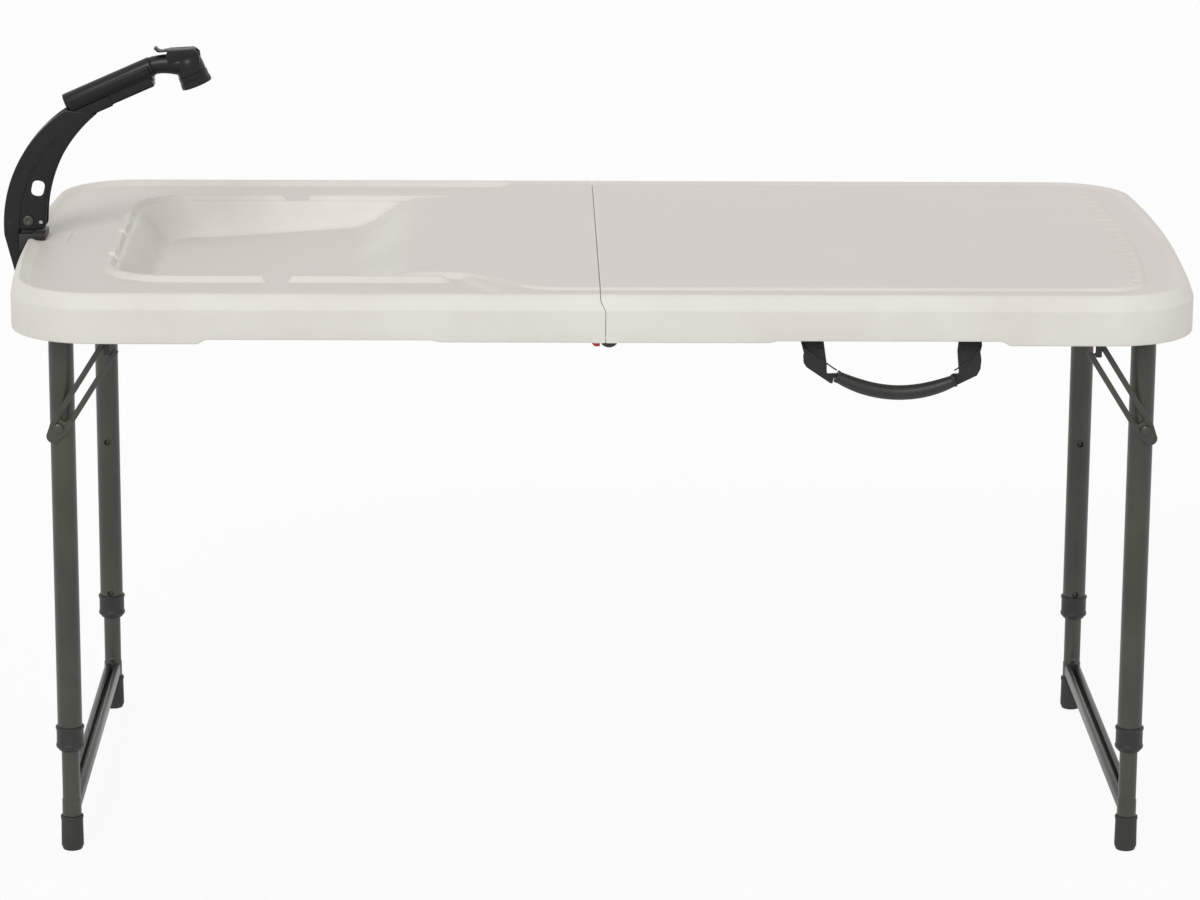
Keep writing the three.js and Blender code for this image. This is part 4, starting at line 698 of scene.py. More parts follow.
def underSide(side, u, y, inset, t):
    lip = min(along(top["lip"], inset), along(top["seamLip"], t))
    z = top["skirt"] + lip
    if inset < top["lipEnd"]:
        fade = ease((top["lipEnd"] - inset) / top["liftSlope"])
        z += along(top["lift"], u) * (1 - lip / top["lipRise"]) * fade
    near, far = top["pocket"]  # the latch's
    if side < 0 and y < 0 and near < inset < far and t < top["pocketEnd"]:
        z = max(z, top["skirt"] + math.sqrt(top["pocketRadius"] ** 2 - t * t))
    if inset > top["wallInset"]:
        foot = ease((top["recess"] - abs(abs(y) - top["legY"])) / top["recessSlope"])
        z += (top["panel"] - z) * foot * ease((top["recessEnd"] - t) / 2)
        if abs(abs(y) - top["hingeY"]) < top["hingeHalf"] and t < top["hingeReach"]:
            bare = math.sqrt(top["knuckle"] ** 2 - t * t) if t < top["knuckleEnd"] else top["leaf"]
            z = max(z, top["skirt"] + bare)
    for tackX in top["tackX"][side]:
        if abs(u - tackX) < top["tackRadius"]:
            for tackY in top["tackY"]:
                far = math.hypot(u - tackX, y - tackY)
                share = (top["tackRadius"] - far) / (top["tackRadius"] - top["tackTip"])
                z += top["tackDepth"] * clamp(share)
    if side < 0 and 170 < u < 520 and abs(y) < 218:
        bowl = top["deck"] - sink["wall"] - sinkDepth(-u, y, sink["wall"])
        z = softMin(z, bowl, sink["underRound"])
    return z


def seamU(side, z):
    (x0, z0), (x1, z1) = top["seamTop"], top["seamLap"]
    x = x1 + (x0 - x1) * clamp((z - z1) / (z0 - z1))
    return side * x + top["seamGap"] / 2


def lines(values, high, coarse, least):
    marks = sorted(set(round(v, 3) for v in values if 0 <= v <= high) | {0.0, round(high, 6)})
    kept = [marks[0]]
    for mark in marks[1:]:
        if mark - kept[-1] < least and mark != marks[-1]:
            continue
        count = max(1, math.ceil((mark - kept[-1]) / coarse))
        start = kept[-1]
        kept += [start + (mark - start) * (k + 1) / count for k in range(count)]
    return kept


def zone(start, end, step):
    return [start + step * k for k in range(int((end - start) / step) + 1)]


def tackLines(places):
    return [place + sign * d for place in places for d in (0, 3, 6, 8.5, 11, 13) for sign in (-1, 1)]


seamLines = [0, 0.6, 1.3, 2.5, 3.7, 5, 6.8, 9, 11, 12.2, 13, 14, 15.5, 18, 22, 28, 34, 40]
insets = [0, 0.15, 0.5, 1, 1.8, 2.8, 4, 5.5, 7.2, 8.4, 9.6, 11, 12, 13, 14.8, 17, 18, 20, 22, 25, 29, 33,
          35.5, 36.5, 37.5, 38.5, 39.5, 40.5, 41.6, 43, 44.5, 45.6, 46.6, 47.6, 48.6, 49.6, 50.6, 52, 57, 63,
          70, 76, 78, 80, 82, 83.5, 85, 86.5, 88]


net = {  # places where the skins need points, and zones with their steps around the basin
    "liftLines": [164, 172, 397, 405], "hingeLines": [119.3, 120.4, 179.6, 180.7],
    "gapLines": (4.5, 5.5, 6.5, 8, 9.5), "coarse": (14, 13), "least": (0.5, 0.8),
    "across": ((44, 200, 4.1), (200, 275, 7.5), (312, 348, 3), (420, 441, 3.5), (441, cornerX, 2)),
    "beside": ((90, 100, 3.3), (150, 217, 2.1)), "cornerSteps": 10, "middle": 90, "bend": 380,
    "beyond": 500, "seamLevels": ((595, 0.02), (586, 0.25), (570, 0.6)),
}


def mouldedHalf(side):
    across = seamLines + tackLines(top["tackX"][side]) + net["liftLines"]
    beside = tackLines(top["tackY"][1:]) + net["hingeLines"]
    if side < 0:
        across += [place for part in net["across"] for place in zone(*part)]
        beside += [place for part in net["beside"] for place in zone(*part)]
        beside += [abs(middle + sign * d) for middle in bead["endGaps"] for d in net["gapLines"]
                   for sign in (-1, 1)]
    ts = lines(across, cornerX, net["coarse"][0], net["least"][0])
    half = lines(beside, cornerY, net["coarse"][1], net["least"][1])
    ys = [-y for y in reversed(half[1:])] + half

    def ends(q, inset):  # bowed end at the share q of its width
        y = q * tangentY
        return (top["length"] - top["bow"] * (y / top["width"]) ** 2 - inset * math.cos(slope * q),
                y - inset * math.sin(slope * q))

    def pair(u, y, inset, t):  # the points of the upper and the lower skin
        heights = overSide(side, u, y, inset, t), underSide(side, u, y, inset, t)
        near = clamp(1 - t / top["seamFade"])
        return [(side * (u + seamU(side, z) * near), y, z) for z in heights]

    stations = [(lambda s, t=t: (t, s - top["width"]), t) for t in ts]
    steps = net["cornerSteps"]
    for k in range(1, steps):
        angle = math.pi / 2 + (slope - math.pi / 2) * k / steps
        stations.append((lambda s, a=angle: (cornerX + (top["corner"] - s) * math.cos(a),
                                             -cornerY - (top["corner"] - s) * math.sin(a)), net["beyond"]))
    front = stations[::-1]
    stations += [(lambda s, q=y / cornerY: ends(q, s), net["beyond"]) for y in ys]
    stations += [(lambda s, f=f: (f(s)[0], -f(s)[1]), t) for f, t in front]
    strip = [[pair(*f(s), s, t) for s in insets] for f, t in stations]

    centre = []
    for y in ys:
        endX, endY = ends(y / cornerY, top["corner"])
        row = []
        for t in ts:
            weight = clamp((t - net["bend"]) / (cornerX - net["bend"]))
            row.append(pair(t + (endX - cornerX) * weight, y + (endY - y) * weight, net["middle"], t))
        centre.append(row)

    gone = set()
    if side < 0:  # the drain's hole, hidden by its flange and nut
        drainX, drainY = drainPlace
        cut = sink["drainCut"]

        def far(r, c):
            points = [centre[r + a][c + b][0] for a in (0, 1) for b in (0, 1)]
            return math.hypot(sum(p[0] for p in points) / 4 - drainX, sum(p[1] for p in points) / 4 - drainY)
        gone = {(r, c) for r in range(len(ys) - 1) for c in range(len(ts) - 1) if far(r, c) < cut}
        rim = {}
        for r, c in gone:
            for a, b in ((0, 0), (0, 1), (1, 0), (1, 1)):
                rim[(r + a, c + b)] = rim.get((r + a, c + b), 0) + 1
        for (r, c), count in rim.items():
            if count < 4:
                for level in (0, 1):
                    x, y, z = centre[r][c][level]
                    away = Vector((x - drainX, y - drainY)).normalized() * cut
                    centre[r][c][level] = (drainX + away.x, drainY + away.y, z)

    def levels(upper, lower, seam):
        high, low = upper[2], lower[2]
        column = [upper]
        for jog, share in net["seamLevels"]:
            z = min(jog if seam else high, high - share * (high - low))
            z = max(z, low + (high - low) * (1 - share) * 0.3)
            x = side * seamU(side, z) if seam else upper[0]
            column.append((x, upper[1], z))
        return column + [lower]

    shapes = []
    for level in (0, 1):
        shapes.append(grid([[p[level] for p in row] for row in strip]))
        points, faces = grid([[p[level] for p in row] for row in centre])
        width = len(ts) - 1
        shapes.append((points, [f for k, f in enumerate(faces) if (k // width, k % width) not in gone]))
    for r, c in gone:
        for beyond, edge in (((r - 1, c), ((r, c), (r, c + 1))), ((r + 1, c), ((r + 1, c), (r + 1, c + 1))),
                             ((r, c - 1), ((r, c), (r + 1, c))), ((r, c + 1), ((r, c + 1), (r + 1, c + 1)))):
            if beyond not in gone:
                first, second = (centre[a][b] for a, b in edge)
                shapes.append(([first[0], second[0], second[1], first[1]], [(0, 1, 2, 3)]))
    outer = [levels(*row[0], seam=False) for row in strip]
    for k in (0, -1):
        outer[k] = levels(*strip[k][0], seam=True)
    shapes.append(grid(outer))
    seamFace = strip[0] + [row[0] for row in centre[1:]] + strip[-1][::-1][1:]
    shapes.append(grid([levels(*p, seam=True) for p in seamFace]))
    return merge(*shapes)


leftTop = newPiece("basinHalf", mouldedHalf(-1), moulded, "left_half", "left_top", 32)
print("basin half,", len(leftTop.data.polygons), "faces")
ruler = {"inset": 52, "length": 12, "long": 22, "width": 1.6, "sunk": 0.6, "rise": 1.0, "pitch": 25.4,
         "count": 19, "every": 6}
markX, markY = -ruler["length"], ruler["width"] / 2
mark = prism(rounded([(markX, -markY), (0, -markY), (0, markY), (markX, markY)], 0.7, 4),
             "xy", -ruler["sunk"], ruler["rise"], 0.25)
marks = repeated(marksTree, mark, moulded, {
    "Count": ruler["count"], "Pitch": ruler["pitch"], "Bow": float(top["bow"]),
    "HalfWidth": float(top["width"]), "LongEvery": float(ruler["every"]),
    "Stretch": ruler["long"] / ruler["length"]})
marks = shifted(marks, (top["length"] - ruler["inset"], 0, top["deck"]))
rightTop = newPiece("cuttingHalf", merge(mouldedHalf(1), marks), moulded, "right_half", "right_top", 32)
print("cutting half,", len(rightTop.data.polygons), "faces")


# Leg frames. A leg's own x points to the middle of the table.

leg = {
    "x": 547, "y": 242, "hinge": 564, "radius": 12.7, "wall": 1.2, "bend": 34, "end": 114.3,
    "lower": 9.25, "lowerTop": 462, "lowerEnd": 5.3, "button": 442, "holes": (442, 314.2, 137.6), "hole": 3.6,
    "bar": 46, "barHalf": 8.8, "barHigh": 7.6, "groove": 2.6, "grooveDepth": 8.5, "collar": 108,
}


def legSide(side):
    return lambda p: Vector((side * (leg["x"] - p.x), p.y, p.z))


def upperFrame():
    low = -leg["y"]
    bend = arc((low + leg["bend"], leg["hinge"] - leg["bend"]), leg["bend"], math.pi, math.pi / 2, 14)
    front = [(0, low, leg["end"]), (0, low, 200), (0, low, 380)] + [(0, a, b) for a, b in bend]
    path = front + [(0, -y, z) for _, y, z in reversed(front)]
    tube = shell(path, leg["radius"], leg["radius"] - leg["wall"], (1, 0, 0))
    return without(tube, [rod((0, s * leg["y"], z), (0, s * (leg["y"] - 16), z), leg["hole"], 24)
                          for s in (-1, 1) for z in leg["holes"]])


def lowerFrame():
    parts = []
    for s in (-1, 1):
        outer, inner = leg["lower"], leg["lower"] - leg["wall"]
        low, high = leg["lowerEnd"], leg["lowerTop"]
        post = lathe([(0, low), (outer, low), (outer, 100), (outer, 300), (outer, high - 0.6),
                      (outer - 0.6, high), (inner, high), (inner, 14), (0, 14)], (0, s * leg["y"], 0))
        hole = rod((0, s * leg["y"], leg["button"]), (0, s * (leg["y"] - 11), leg["button"]), leg["hole"], 24)
        parts.append(without(post, [hole]))
    half, high, gap = leg["barHalf"], leg["barHigh"], leg["groove"]
    bottom = high - leg["grooveDepth"]
    channel = [(-half, -high), (half, -high), (half, high), (gap, high), (gap * 0.8, bottom),
               (-gap * 0.8, bottom), (-gap, high), (-half, high)]
    section = rounded(channel, [5.5, 5.5, 3, 2.4, 1.6, 1.6, 2.4, 3])
    reach = leg["y"] - leg["lower"] + 0.5
    bar = prism([(a, b + leg["bar"]) for a, b in section], "xz", -reach, reach, 0.5)
    saddles = [lathe([(9.35, -9), (9.9, -8.4), (9.9, 8.4), (9.35, 9)], (0, s * leg["y"], leg["bar"]))
               for s in (-1, 1)]
    rivets = [lathe([(0, 2.2), (1.5, 1.9), (2.7, 0.9), (3.1, 0), (3.1, -1.5), (0, -1.5)],
                    (0, s * (leg["y"] - leg["lower"] - 0.6), leg["bar"] + 13.5), (0, -s, 0), 24)
              for s in (-1, 1)]
    return merge(*parts, bar, *saddles, *rivets)


collarProfile = [(9.65, 0.6), (10.3, 0), (11.4, 0), (11.9, 0.5), (11.9, 1.6), (12.6, 2), (13.7, 2.6),
                 (14.5, 3.9), (14.8, 5.2), (14.6, 6.6), (14.1, 7.6), (13.95, 9), (13.95, 21), (14.2, 22.4),
                 (14.75, 23.4), (14.85, 24.6), (14.5, 25.6), (13.8, 26), (13.0, 26), (13.0, 6.2), (9.65, 6.2),
                 (9.65, 0.6)]
footProfile = [(0, 0), (8.8, 0), (9.8, 0.4), (10.3, 1.3), (10.5, 2.6), (11.05, 3.6), (11.45, 4.4), (11.55, 6),
               (11.35, 20), (11.2, 32.2), (11.35, 33), (11.75, 33.5), (11.8, 35.9), (11.5, 36.7), (10.9, 37),
               (9.6, 37), (9.6, 5.1), (0, 5.1)]


def snapPin(s):
    pin = lathe([(0, 5.8), (3.1, 5.8), (3.2, 6), (3.2, 13.4), (3.0, 14.1), (2.3, 14.7), (1.2, 15), (0, 15.1)],
                (0, s * leg["y"], leg["button"]), (0, -s, 0), 32)
    leaf = block((-3.8, 5.9, leg["button"] - 36), (3.8, 6.7, leg["button"] + 7), 0.3)
    return merge(pin, moved(leaf, lambda p: Vector((p.x, s * (leg["y"] - p.y), p.z))))


stay = {"rivetZ": 453, "out": 3, "rise": math.radians(57.7), "length": 101, "arm": 5.8, "thick": 3.2,
        "spacing": 14.6, "from": 3, "gap": 0.5, "plate": 2.5}


def stayPlace(s):
    def change(p):  # x along the stay, y outwards, z across
        return Vector((p.x * math.cos(stay["rise"]) - p.z * math.sin(stay["rise"]) - stay["out"],
                       s * (leg["y"] + leg["radius"] + p.y),
                       stay["rivetZ"] + p.x * math.sin(stay["rise"]) + p.z * math.cos(stay["rise"])))
    return change


def stayShape(s):
    low = stay["gap"]
    high = low + stay["plate"]
    half, reach = stay["spacing"] / 2, stay["length"]
    tail = arc((-10, 0), 7, math.pi / 2, 3 * math.pi / 2, 12)
    jaws = [(0, -9.6), (19, -9.6), (19, -4.2), (9, -3.4), (9, 3.4), (19, 4.2), (19, 9.6), (0, 9.6)]
    plate = rounded(tail + jaws, [0] * len(tail) + [6, 1, 1.5, 2.6, 2.6, 1.5, 1, 6], 4)
    parts = [prism(plate, "xz", low, high, 0.5)]
    wide = stay["arm"] / 2
    rail = rounded([(-wide, 0), (wide, 0), (wide, stay["thick"]), (-wide, stay["thick"])], 1.1, 4)
    for side in (-1, 1):
        outline = [(a + side * half, b + high - 1) for a, b in rail]
        parts.append(moved(prism(outline, "xy", stay["from"], reach, 0.5), lambda p: Vector((p.z, p.y, p.x))))
    parts.append(rod((reach - 5, high + 0.4, -half + 2), (reach - 5, high + 0.4, half - 2), 1.4, 20, 0.2))
    head = [(0, 3.0), (2.2, 2.8), (4.4, 2.1), (5.5, 1.1), (5.9, 0), (0, 0)]
    parts.append(lathe(head, (0, high, 0), (0, 1, 0), 40))
    parts.append(rod((0, -2.6, 0), (0, high, 0), 3, 24, 0.3))
    dimple = [(0, 1.2), (1.1, 1.0), (1.8, 0.2), (1.8, -0.4), (0, -0.4)]
    for dot in (-6.4, 6.4):
        parts.append(lathe(dimple, (14.6, high + 2.1, dot), (0, 1, 0), 20))
    return moved(merge(*parts), stayPlace(s))


keeper = {"x": 41, "half": 10, "near": 262.7, "far": 281.7, "low": 547, "high": 581.7}
tongue = {"x": 48.3, "half": 3.2, "near": 262.7, "far": 265.3, "low": 530.5, "high": 549}


def keeperShape(s):
    shapes = [block((part["x"] - part["half"], part["near"], part["low"]),
                    (part["x"] + part["half"], part["far"], part["high"]), edge)
              for part, edge in ((keeper, 1.2), (tongue, 0.8))]
    return moved(merge(*shapes), lambda p: Vector((p.x, s * p.y, p.z)))


for side, end in ((-1, "left"), (1, "right")):
    half, frameBody, lowerBody = end + "_half", end + "_leg", end + "_leg_extension"

    def legPiece(name, shape, look, body, node):
        newPiece(name, moved(shape, legSide(side)), look, body, node)

    legPiece(end + "UpperFrame", upperFrame(), coated, frameBody, end + "_leg_upper_frame")
    legPiece(end + "LowerFrame", lowerFrame(), coated, lowerBody, end + "_leg_lower_frame")
    for s, place in ((-1, "front"), (1, "rear")):
        corner = end + "_" + place
        name = end + place.capitalize()
        collar = lathe(collarProfile, (0, s * leg["y"], leg["collar"]))
        legPiece(name + "Collar", collar, black, frameBody, corner + "_leg_collar")
        legPiece(name + "Foot", lathe(footProfile, (0, s * leg["y"], 0)), rubber, lowerBody, corner + "_foot")
        legPiece(name + "SnapButton", snapPin(s), plated, corner + "_button", corner + "_snap_button")
        legPiece(name + "Stay", stayShape(s), coated, corner + "_stay", corner + "_leg_stay")
        softened(corner + "_clip_spring", plated, lowerBody, 0.15)
        softened(corner + "_pivot_saddle", black, half, 0.5)
        legPiece(name + "Keeper", keeperShape(s), black, half, corner + "_stay_keeper")
print("legs built")


# Swan-neck arm, drawn from its pivot

arm = {
    "pivot": (-602, 0, 617), "half": 13.5, "inside": 10.7, "outer": ((121, -6), 147),
    "inner": ((170, -3), 151), "spine": 3, "innerWall": 8, "band": 16.5, "groove": 2.2,
    "grooveDepth": 1.3, "recess": 0.7, "rimWidth": 3.4, "edge": 1.6,
    "ends": (122.5, 129.5), "hollowEnds": (129, 135.5), "webEnds": (131, 137), "lineEnd": 131.5,
}
spray = {"tilt": math.radians(23.9), "start": (41.3, 122.4), "radius": 10.5, "room": 0.4, "face": (179, 143),
         "faceTilt": math.radians(21.7), "leverPin": (36.6, 4.4)}


def sprayPoint(a, b=0.0):
    c, s = math.cos(spray["tilt"]), math.sin(spray["tilt"])
    return Vector((spray["start"][0] + a * c + b * s, 0, spray["start"][1] + a * s - b * c))


def headPoint(up, right=0.0):
    c, s = math.cos(spray["faceTilt"]), math.sin(spray["faceTilt"])
    return Vector((spray["face"][0] - up * s + right * c, 0, spray["face"][1] + up * c + right * s))


def armShape():
    centre, radius = arm["outer"]
    innerCentre, innerRadius = arm["inner"]
    outerStart = math.pi + math.asin(10 / radius)
    innerStart = math.pi - math.asin(10 / innerRadius)
    outerEnd, innerEnd, hollowOut, hollowIn, webOut, webIn, lineEnd = (
        math.radians(a) for a in (*arm["ends"], *arm["hollowEnds"], *arm["webEnds"], arm["lineEnd"]))
    outer = arc(centre, radius, outerStart, outerEnd, 40)
    inner = arc(innerCentre, innerRadius, innerEnd, innerStart, 32)
    heel = rounded([inner[-1], (18.5, -10), (-9.8, -10), (-9.8, -30)], [0, 7, 0, 0], 6)[1:-1]
    profile = [(-16, -54)] + outer + inner + heel + [(-9.8, -10), (-9.8, -30), (-6.3, -33.4), (-6.3, -54)]
    clean = [p for k, p in enumerate(profile) if k == 0 or (Vector(p) - Vector(profile[k - 1])).length > 0.05]
    body = prism(clean, "xz", -arm["half"], arm["half"], arm["edge"], 4)
    wallCentre = (innerCentre[0] + arm["innerWall"], innerCentre[1])
    hollow = ([(-9.8, -11)] + arc(centre, radius - arm["spine"], math.pi, hollowOut, 32)
              + arc(wallCentre, innerRadius, hollowIn, innerStart, 28) + [(19.5, -11)])
    cuts = [prism(hollow, "xz", -arm["inside"], arm["inside"])]
    far = arm["half"] + 2
    grooveOut = radius - arm["band"]
    rimCentre = (innerCentre[0] - arm["rimWidth"], innerCentre[1])
    web = (arc(centre, grooveOut - 0.8, math.pi, webOut, 32)
           + arc(rimCentre, innerRadius, webIn, math.pi - 0.04, 28))
    line = (arc(centre, grooveOut, math.pi + 0.02, lineEnd, 32)
            + arc(centre, grooveOut - arm["groove"], lineEnd, math.pi + 0.02, 32))
    for s in (-1, 1):
        for outline, depth in ((web, arm["recess"]), (line, arm["grooveDepth"])):
            span = sorted((s * (arm["half"] - depth), s * far))
            cuts.append(prism(outline, "xz", *span))
    oval = rounded([(2.6, 27.4), (15.6, 25.2), (19.2, 41.4), (6.2, 43.6)], 6, 6)
    wide = rounded([(-1, 21), (14.4, 18.4), (19.6, 41.4), (4.2, 44)], 6, 6)  # lets the light through
    cuts += [prism(oval, "xz", -far, 0), prism(wide, "xz", 0, far)]
    drilled = ((0, 0, 3.5, -far, far), (13, -2, 2, -far, 0), (10.6, -6.4, 2.4, 0, far))
    cuts += [rod((x, start, z), (x, end, z), hole, 24) for x, z, hole, start, end in drilled]
    return without(body, cuts + [gunRoom()])


def gunRoom():
    return rod(sprayPoint(-60), sprayPoint(160), spray["radius"] + spray["room"], 64)


def cradleShape():
    radius = spray["radius"] + spray["room"]
    outer = radius + 4
    lips = [(outer, 2.6), (radius + 2, 4), (-radius - 2, 4), (-outer, 2.6)]
    section = rounded(arc((0, 0), outer, -math.pi, 0, 24) + lips, [0] * 25 + [1, 1, 1, 1], 3)
    trough = prism(section, "yz", 3, 96, 0.8)
    keels = []
    for half, low, start, end, bevel in ((13, -20.6, 3, 46, 1), (11.4, -19.4, 44, 94, 1.6)):
        keel = rounded([(-half, -9), (half, -9), (half, low), (-half, low)], [0, 0, 3, 3])
        keels.append(prism(keel, "yz", start, end, bevel))
    solid, *others = (tilted(part, spray["tilt"], sprayPoint(0)) for part in [trough, *keels])
    return combined(solid, [("UNION", other) for other in others] + [("DIFFERENCE", gunRoom())])


gripProfile = [(0, 60), (5.5, 60), (5.5, 14), (7.6, 14), (7.6, 0.6), (8.1, 0), (9.7, 0), (10.3, 0.3),
               (10.5, 1.1), (10.5, 30), (10.5, 64), (10.5, 97.6), (10.3, 98.6), (9.8, 99.2), (9.2, 99.4),
               (9.1, 97.8), (0, 97.8)]
domeProfile = [(0, 34.4), (6, 34), (10, 32.8), (12.8, 30.4), (14.5, 26.6), (15.1, 22), (15.2, 16),
               (15.2, 14.2), (0, 14.2)]
neck = {"lead": ((92.3, 0.88), (99.5, 0.88), (99.8, 0.95)), "from": 100.2, "corner": (113, 1.5), "to": 22,
        "scale": 0.96, "growth": 0.3, "power": 2.2, "radius": 10,
        "bell": ((18, 1.42), (15, 1.5), (13.8, 1.5), (13.6, 1.2), (2.6, 1.2), (2.0, 1.14))}
cheekLine = [(-19.5, -14), (-22.5, -4), (-20.5, 1.9), (6.5, 3.6), (12, -0.6), (13.4, -12)]


def headShape():
    first, corner, last = sprayPoint(neck["from"]), sprayPoint(*neck["corner"]), headPoint(neck["to"])
    stations = [(sprayPoint(a), size) for a, size in neck["lead"]]
    for k in range(15):
        share = k / 14
        size = neck["scale"] + neck["growth"] * share ** neck["power"]
        stations.append((curve(first, corner, last, share), size))
    stations += [(headPoint(up), size) for up, size in neck["bell"]]
    path, scales = zip(*stations)
    throat = sweep(path, ring(neck["radius"], 48), (0, 1, 0), scales)
    dome = lathe(domeProfile, headPoint(0), headPoint(1) - headPoint(0))
    line = rounded(cheekLine, [0, 2, 2.2, 4, 4, 0])  # the lever sinks between two cheeks
    cheeks = [shifted(prism(line, "xz", low, high, 0.6), headPoint(*spray["leverPin"]))
              for low, high in ((-10.4, -7.4), (7.4, 10.4))]
    return merge(throat, dome, *cheeks)


def atFace(shape):
    return tilted(shape, spray["faceTilt"], headPoint(0))


leverX, _, leverZ = headPoint(*spray["leverPin"])
leverLine = rounded([(8, 1.4), (7.6, 3.8), (0, 2.9), (-20, 1.9), (-23, 1.7), (-26.6, 0.8), (-29.6, 1.0),
                     (-33.8, 4.6), (-35.4, 3.4), (-31.2, -0.7), (-27, -0.7), (-22, -0.1), (0, -1.3)],
                    [0.5, 1.6, 3, 3, 3, 2, 3, 1, 1, 3, 3, 3, 2], 4)
lever = merge(prism([(leverX + a, leverZ + b) for a, b in leverLine], "xz", -7, 7, 0.8),
              rod((leverX, -9.6, leverZ), (leverX, 9.6, leverZ), 1.5, 24, 0.2))
jet = lathe([(0, 1.5), (0.7, 1.4), (1.5, 0.6), (1.8, -1), (0, -1)], (0, 0, 0), (0, 0, -1), 16)
jets = [repeated(roundTree, jet, satin, {"Count": n, "Radius": r}) for n, r in ((8, 6.2), (5, 2.9))]
ringBody = lathe([(12.4, 0.4), (12.9, 0), (15.3, 0), (16.2, 0.4), (16.5, 1.3), (16.4, 3), (16.2, 6.2),
                  (15.6, 6.9), (15.6, 7.6), (15.9, 8.2), (15.7, 12.8), (15.2, 13.3), (12.4, 13.4),
                  (12.4, 0.4)], sides=64)
rib = rod((0, 0, 2), (-0.4, 0, 5.6), 0.9, 12, 0.3)
ringRibs = repeated(roundTree, rib, satin, {"Count": 24, "Radius": 15.8})
tubeWay = sprayPoint(1) - sprayPoint(0)
washer = [(5.6, 0), (7.1, 0), (7.2, 0.2), (7.2, 2.2), (7.1, 2.4), (5.6, 2.4), (5.6, 0)]
pinHead = [(0, 1.0), (1.6, 1.0), (2.2, 1.4), (4.4, 1.4), (5.2, 1.0), (5.5, 0.4), (5.5, 0), (0, 0)]
pinReach = 13.9


def armPiece(name, shape, look, body, node, sharp=35):
    newPiece(name, shifted(shape, arm["pivot"]), look, body, node, sharp)


armPiece("swanNeckArm", merge(armShape(), cradleShape()), satin, "faucet_arm", "faucet_arm", 30)
gripTube = lathe(gripProfile, sprayPoint(0), tubeWay, 64)
armPiece("sprayGripTube", gripTube, satin, "faucet_arm", "sprayer_grip", 30)
washerRing = lathe(washer, sprayPoint(11.3), tubeWay, 48)
armPiece("inletWasherRing", washerRing, rubber, "faucet_arm", "inlet_washer")
nozzles = [atFace(shifted(jet, (0, 0, 2))) for jet in jets]
armPiece("sprayHeadBody", merge(headShape(), *nozzles), satin, "faucet_arm", "sprayer_head", 30)
armPiece("outletTurnRing", atFace(merge(ringBody, ringRibs)), satin, "outlet_ring", "outlet_ring", 30)
armPiece("thumbLever", lever, satin, "spray_lever", "spray_lever")
pivotPin = merge(rod((0, -pinReach, 0), (0, pinReach, 0), 3.2, 32, 0.2),
                 *[lathe(pinHead, (0, s * pinReach, 0), (0, s, 0), 40) for s in (-1, 1)])
armPiece("armPivotPin", pivotPin, coated, "left_half", "faucet_arm_pin")
softened("faucet_clamp", black, "left_half", 0.6)
print("arm and spray head built")


# Carry handle: two webbing straps twisted onto a moulded grip

carry = {"at": (287.3, -286.5, 551.5), "span": 79.4, "drop": 37.6, "sag": 14.7, "tilt": 1.9,
         "middle": 5.2, "reach": 59.2, "radius": 6.9, "ridge": 0.6, "endSize": 0.76}
strapLines = {  # across from the strap's middle and down from the skirt, as the webbing folds on itself
    -1: {"back": [(-11.6, 0), (11.6, 0), (13.4, -12), (15.3, -25), (15.3, -33), (2, -30), (-6, -20)],
         "front": [(-11.7, 0), (-6.3, -9), (4.1, -16.4), (14.6, -22.4), (15.4, -33.4), (21.4, -33), (27, -33),
                   (27.4, -36.6), (22, -38), (21.4, -43.4), (19.2, -43.6), (-5.2, -27), (-8.2, -22.4),
                   (-8.8, -15), (-6.3, -6)],
         "edge": [(-11.2, -0.6), (-7.2, -8), (-1, -13.8), (4.1, -16.8), (14.3, -22.4), (21, -27.2),
                  (27, -31)]},
    1: {"back": [(-12, 0), (12, 0), (10, -10), (4, -22), (-2, -32), (-11, -32.4), (-13, -10)],
        "front": [(12.2, 0), (7.6, -10.6), (1.6, -19), (-11, -26), (-11.2, -33), (-17.6, -33), (-18, -36.6),
                  (-15.2, -38), (-15, -44.6), (-13, -45.2), (7.2, -35.2), (10.6, -28.6), (11.4, -19),
                  (10, -9.8)],
        "edge": [(11.8, -0.6), (9.4, -10.4), (3, -18.4), (-5, -23.6), (-12, -27.4), (-17.4, -31)]},
}


def stitchRow(graph, wires):
    line = graph.node("GeometryNodeMeshLine", {"mode": "END_POINTS"}, {
        "Count": wires["Count"], "Start Location": wires["From"], "Offset": wires["To"]})
    return line, graph.node("ShaderNodeCombineXYZ", None, {1: wires["Turn"]}), None


stitchTree = repeatTree("stitchRow", common + [("From", "NodeSocketVector"), ("To", "NodeSocketVector"),
                                               ("Turn", "NodeSocketFloat")], stitchRow)


def stitchLine(first, last, depth):
    stitch = block((-1.1, -0.18, -0.28), (1.1, 0.18, 0.28), 0.12)
    turn = -math.atan2(last[1] - first[1], last[0] - first[0])
    return repeated(stitchTree, stitch, band, {"Count": 6, "From": (first[0], depth, first[1]),
                                               "To": (last[0], depth, last[1]), "Turn": turn})


def strapShape(side):
    lines = strapLines[side]
    middle = side * carry["span"]
    parts = []
    for name, near, far in (("back", -0.2, 1.2), ("front", -1.6, -0.3)):
        points = [(middle + a, b + 0.8) for a, b in lines[name]]
        parts.append(prism(rounded(points, 1.6, 3), "xz", near, far, 0.35))
    hem = rounded([(middle + a, b + 0.8) for a, b in lines["edge"]], 4, 4)
    parts.append(sweep([(a, -1.7, b) for a, b in hem[3:-3]], ring(0.75, 12), (0, 1, 0)))
    for level in (-3.2, -6.4):
        parts.append(stitchLine((middle - side * 1.5, level), (middle - side * 9.4, level), -0.35))
    return merge(*parts)


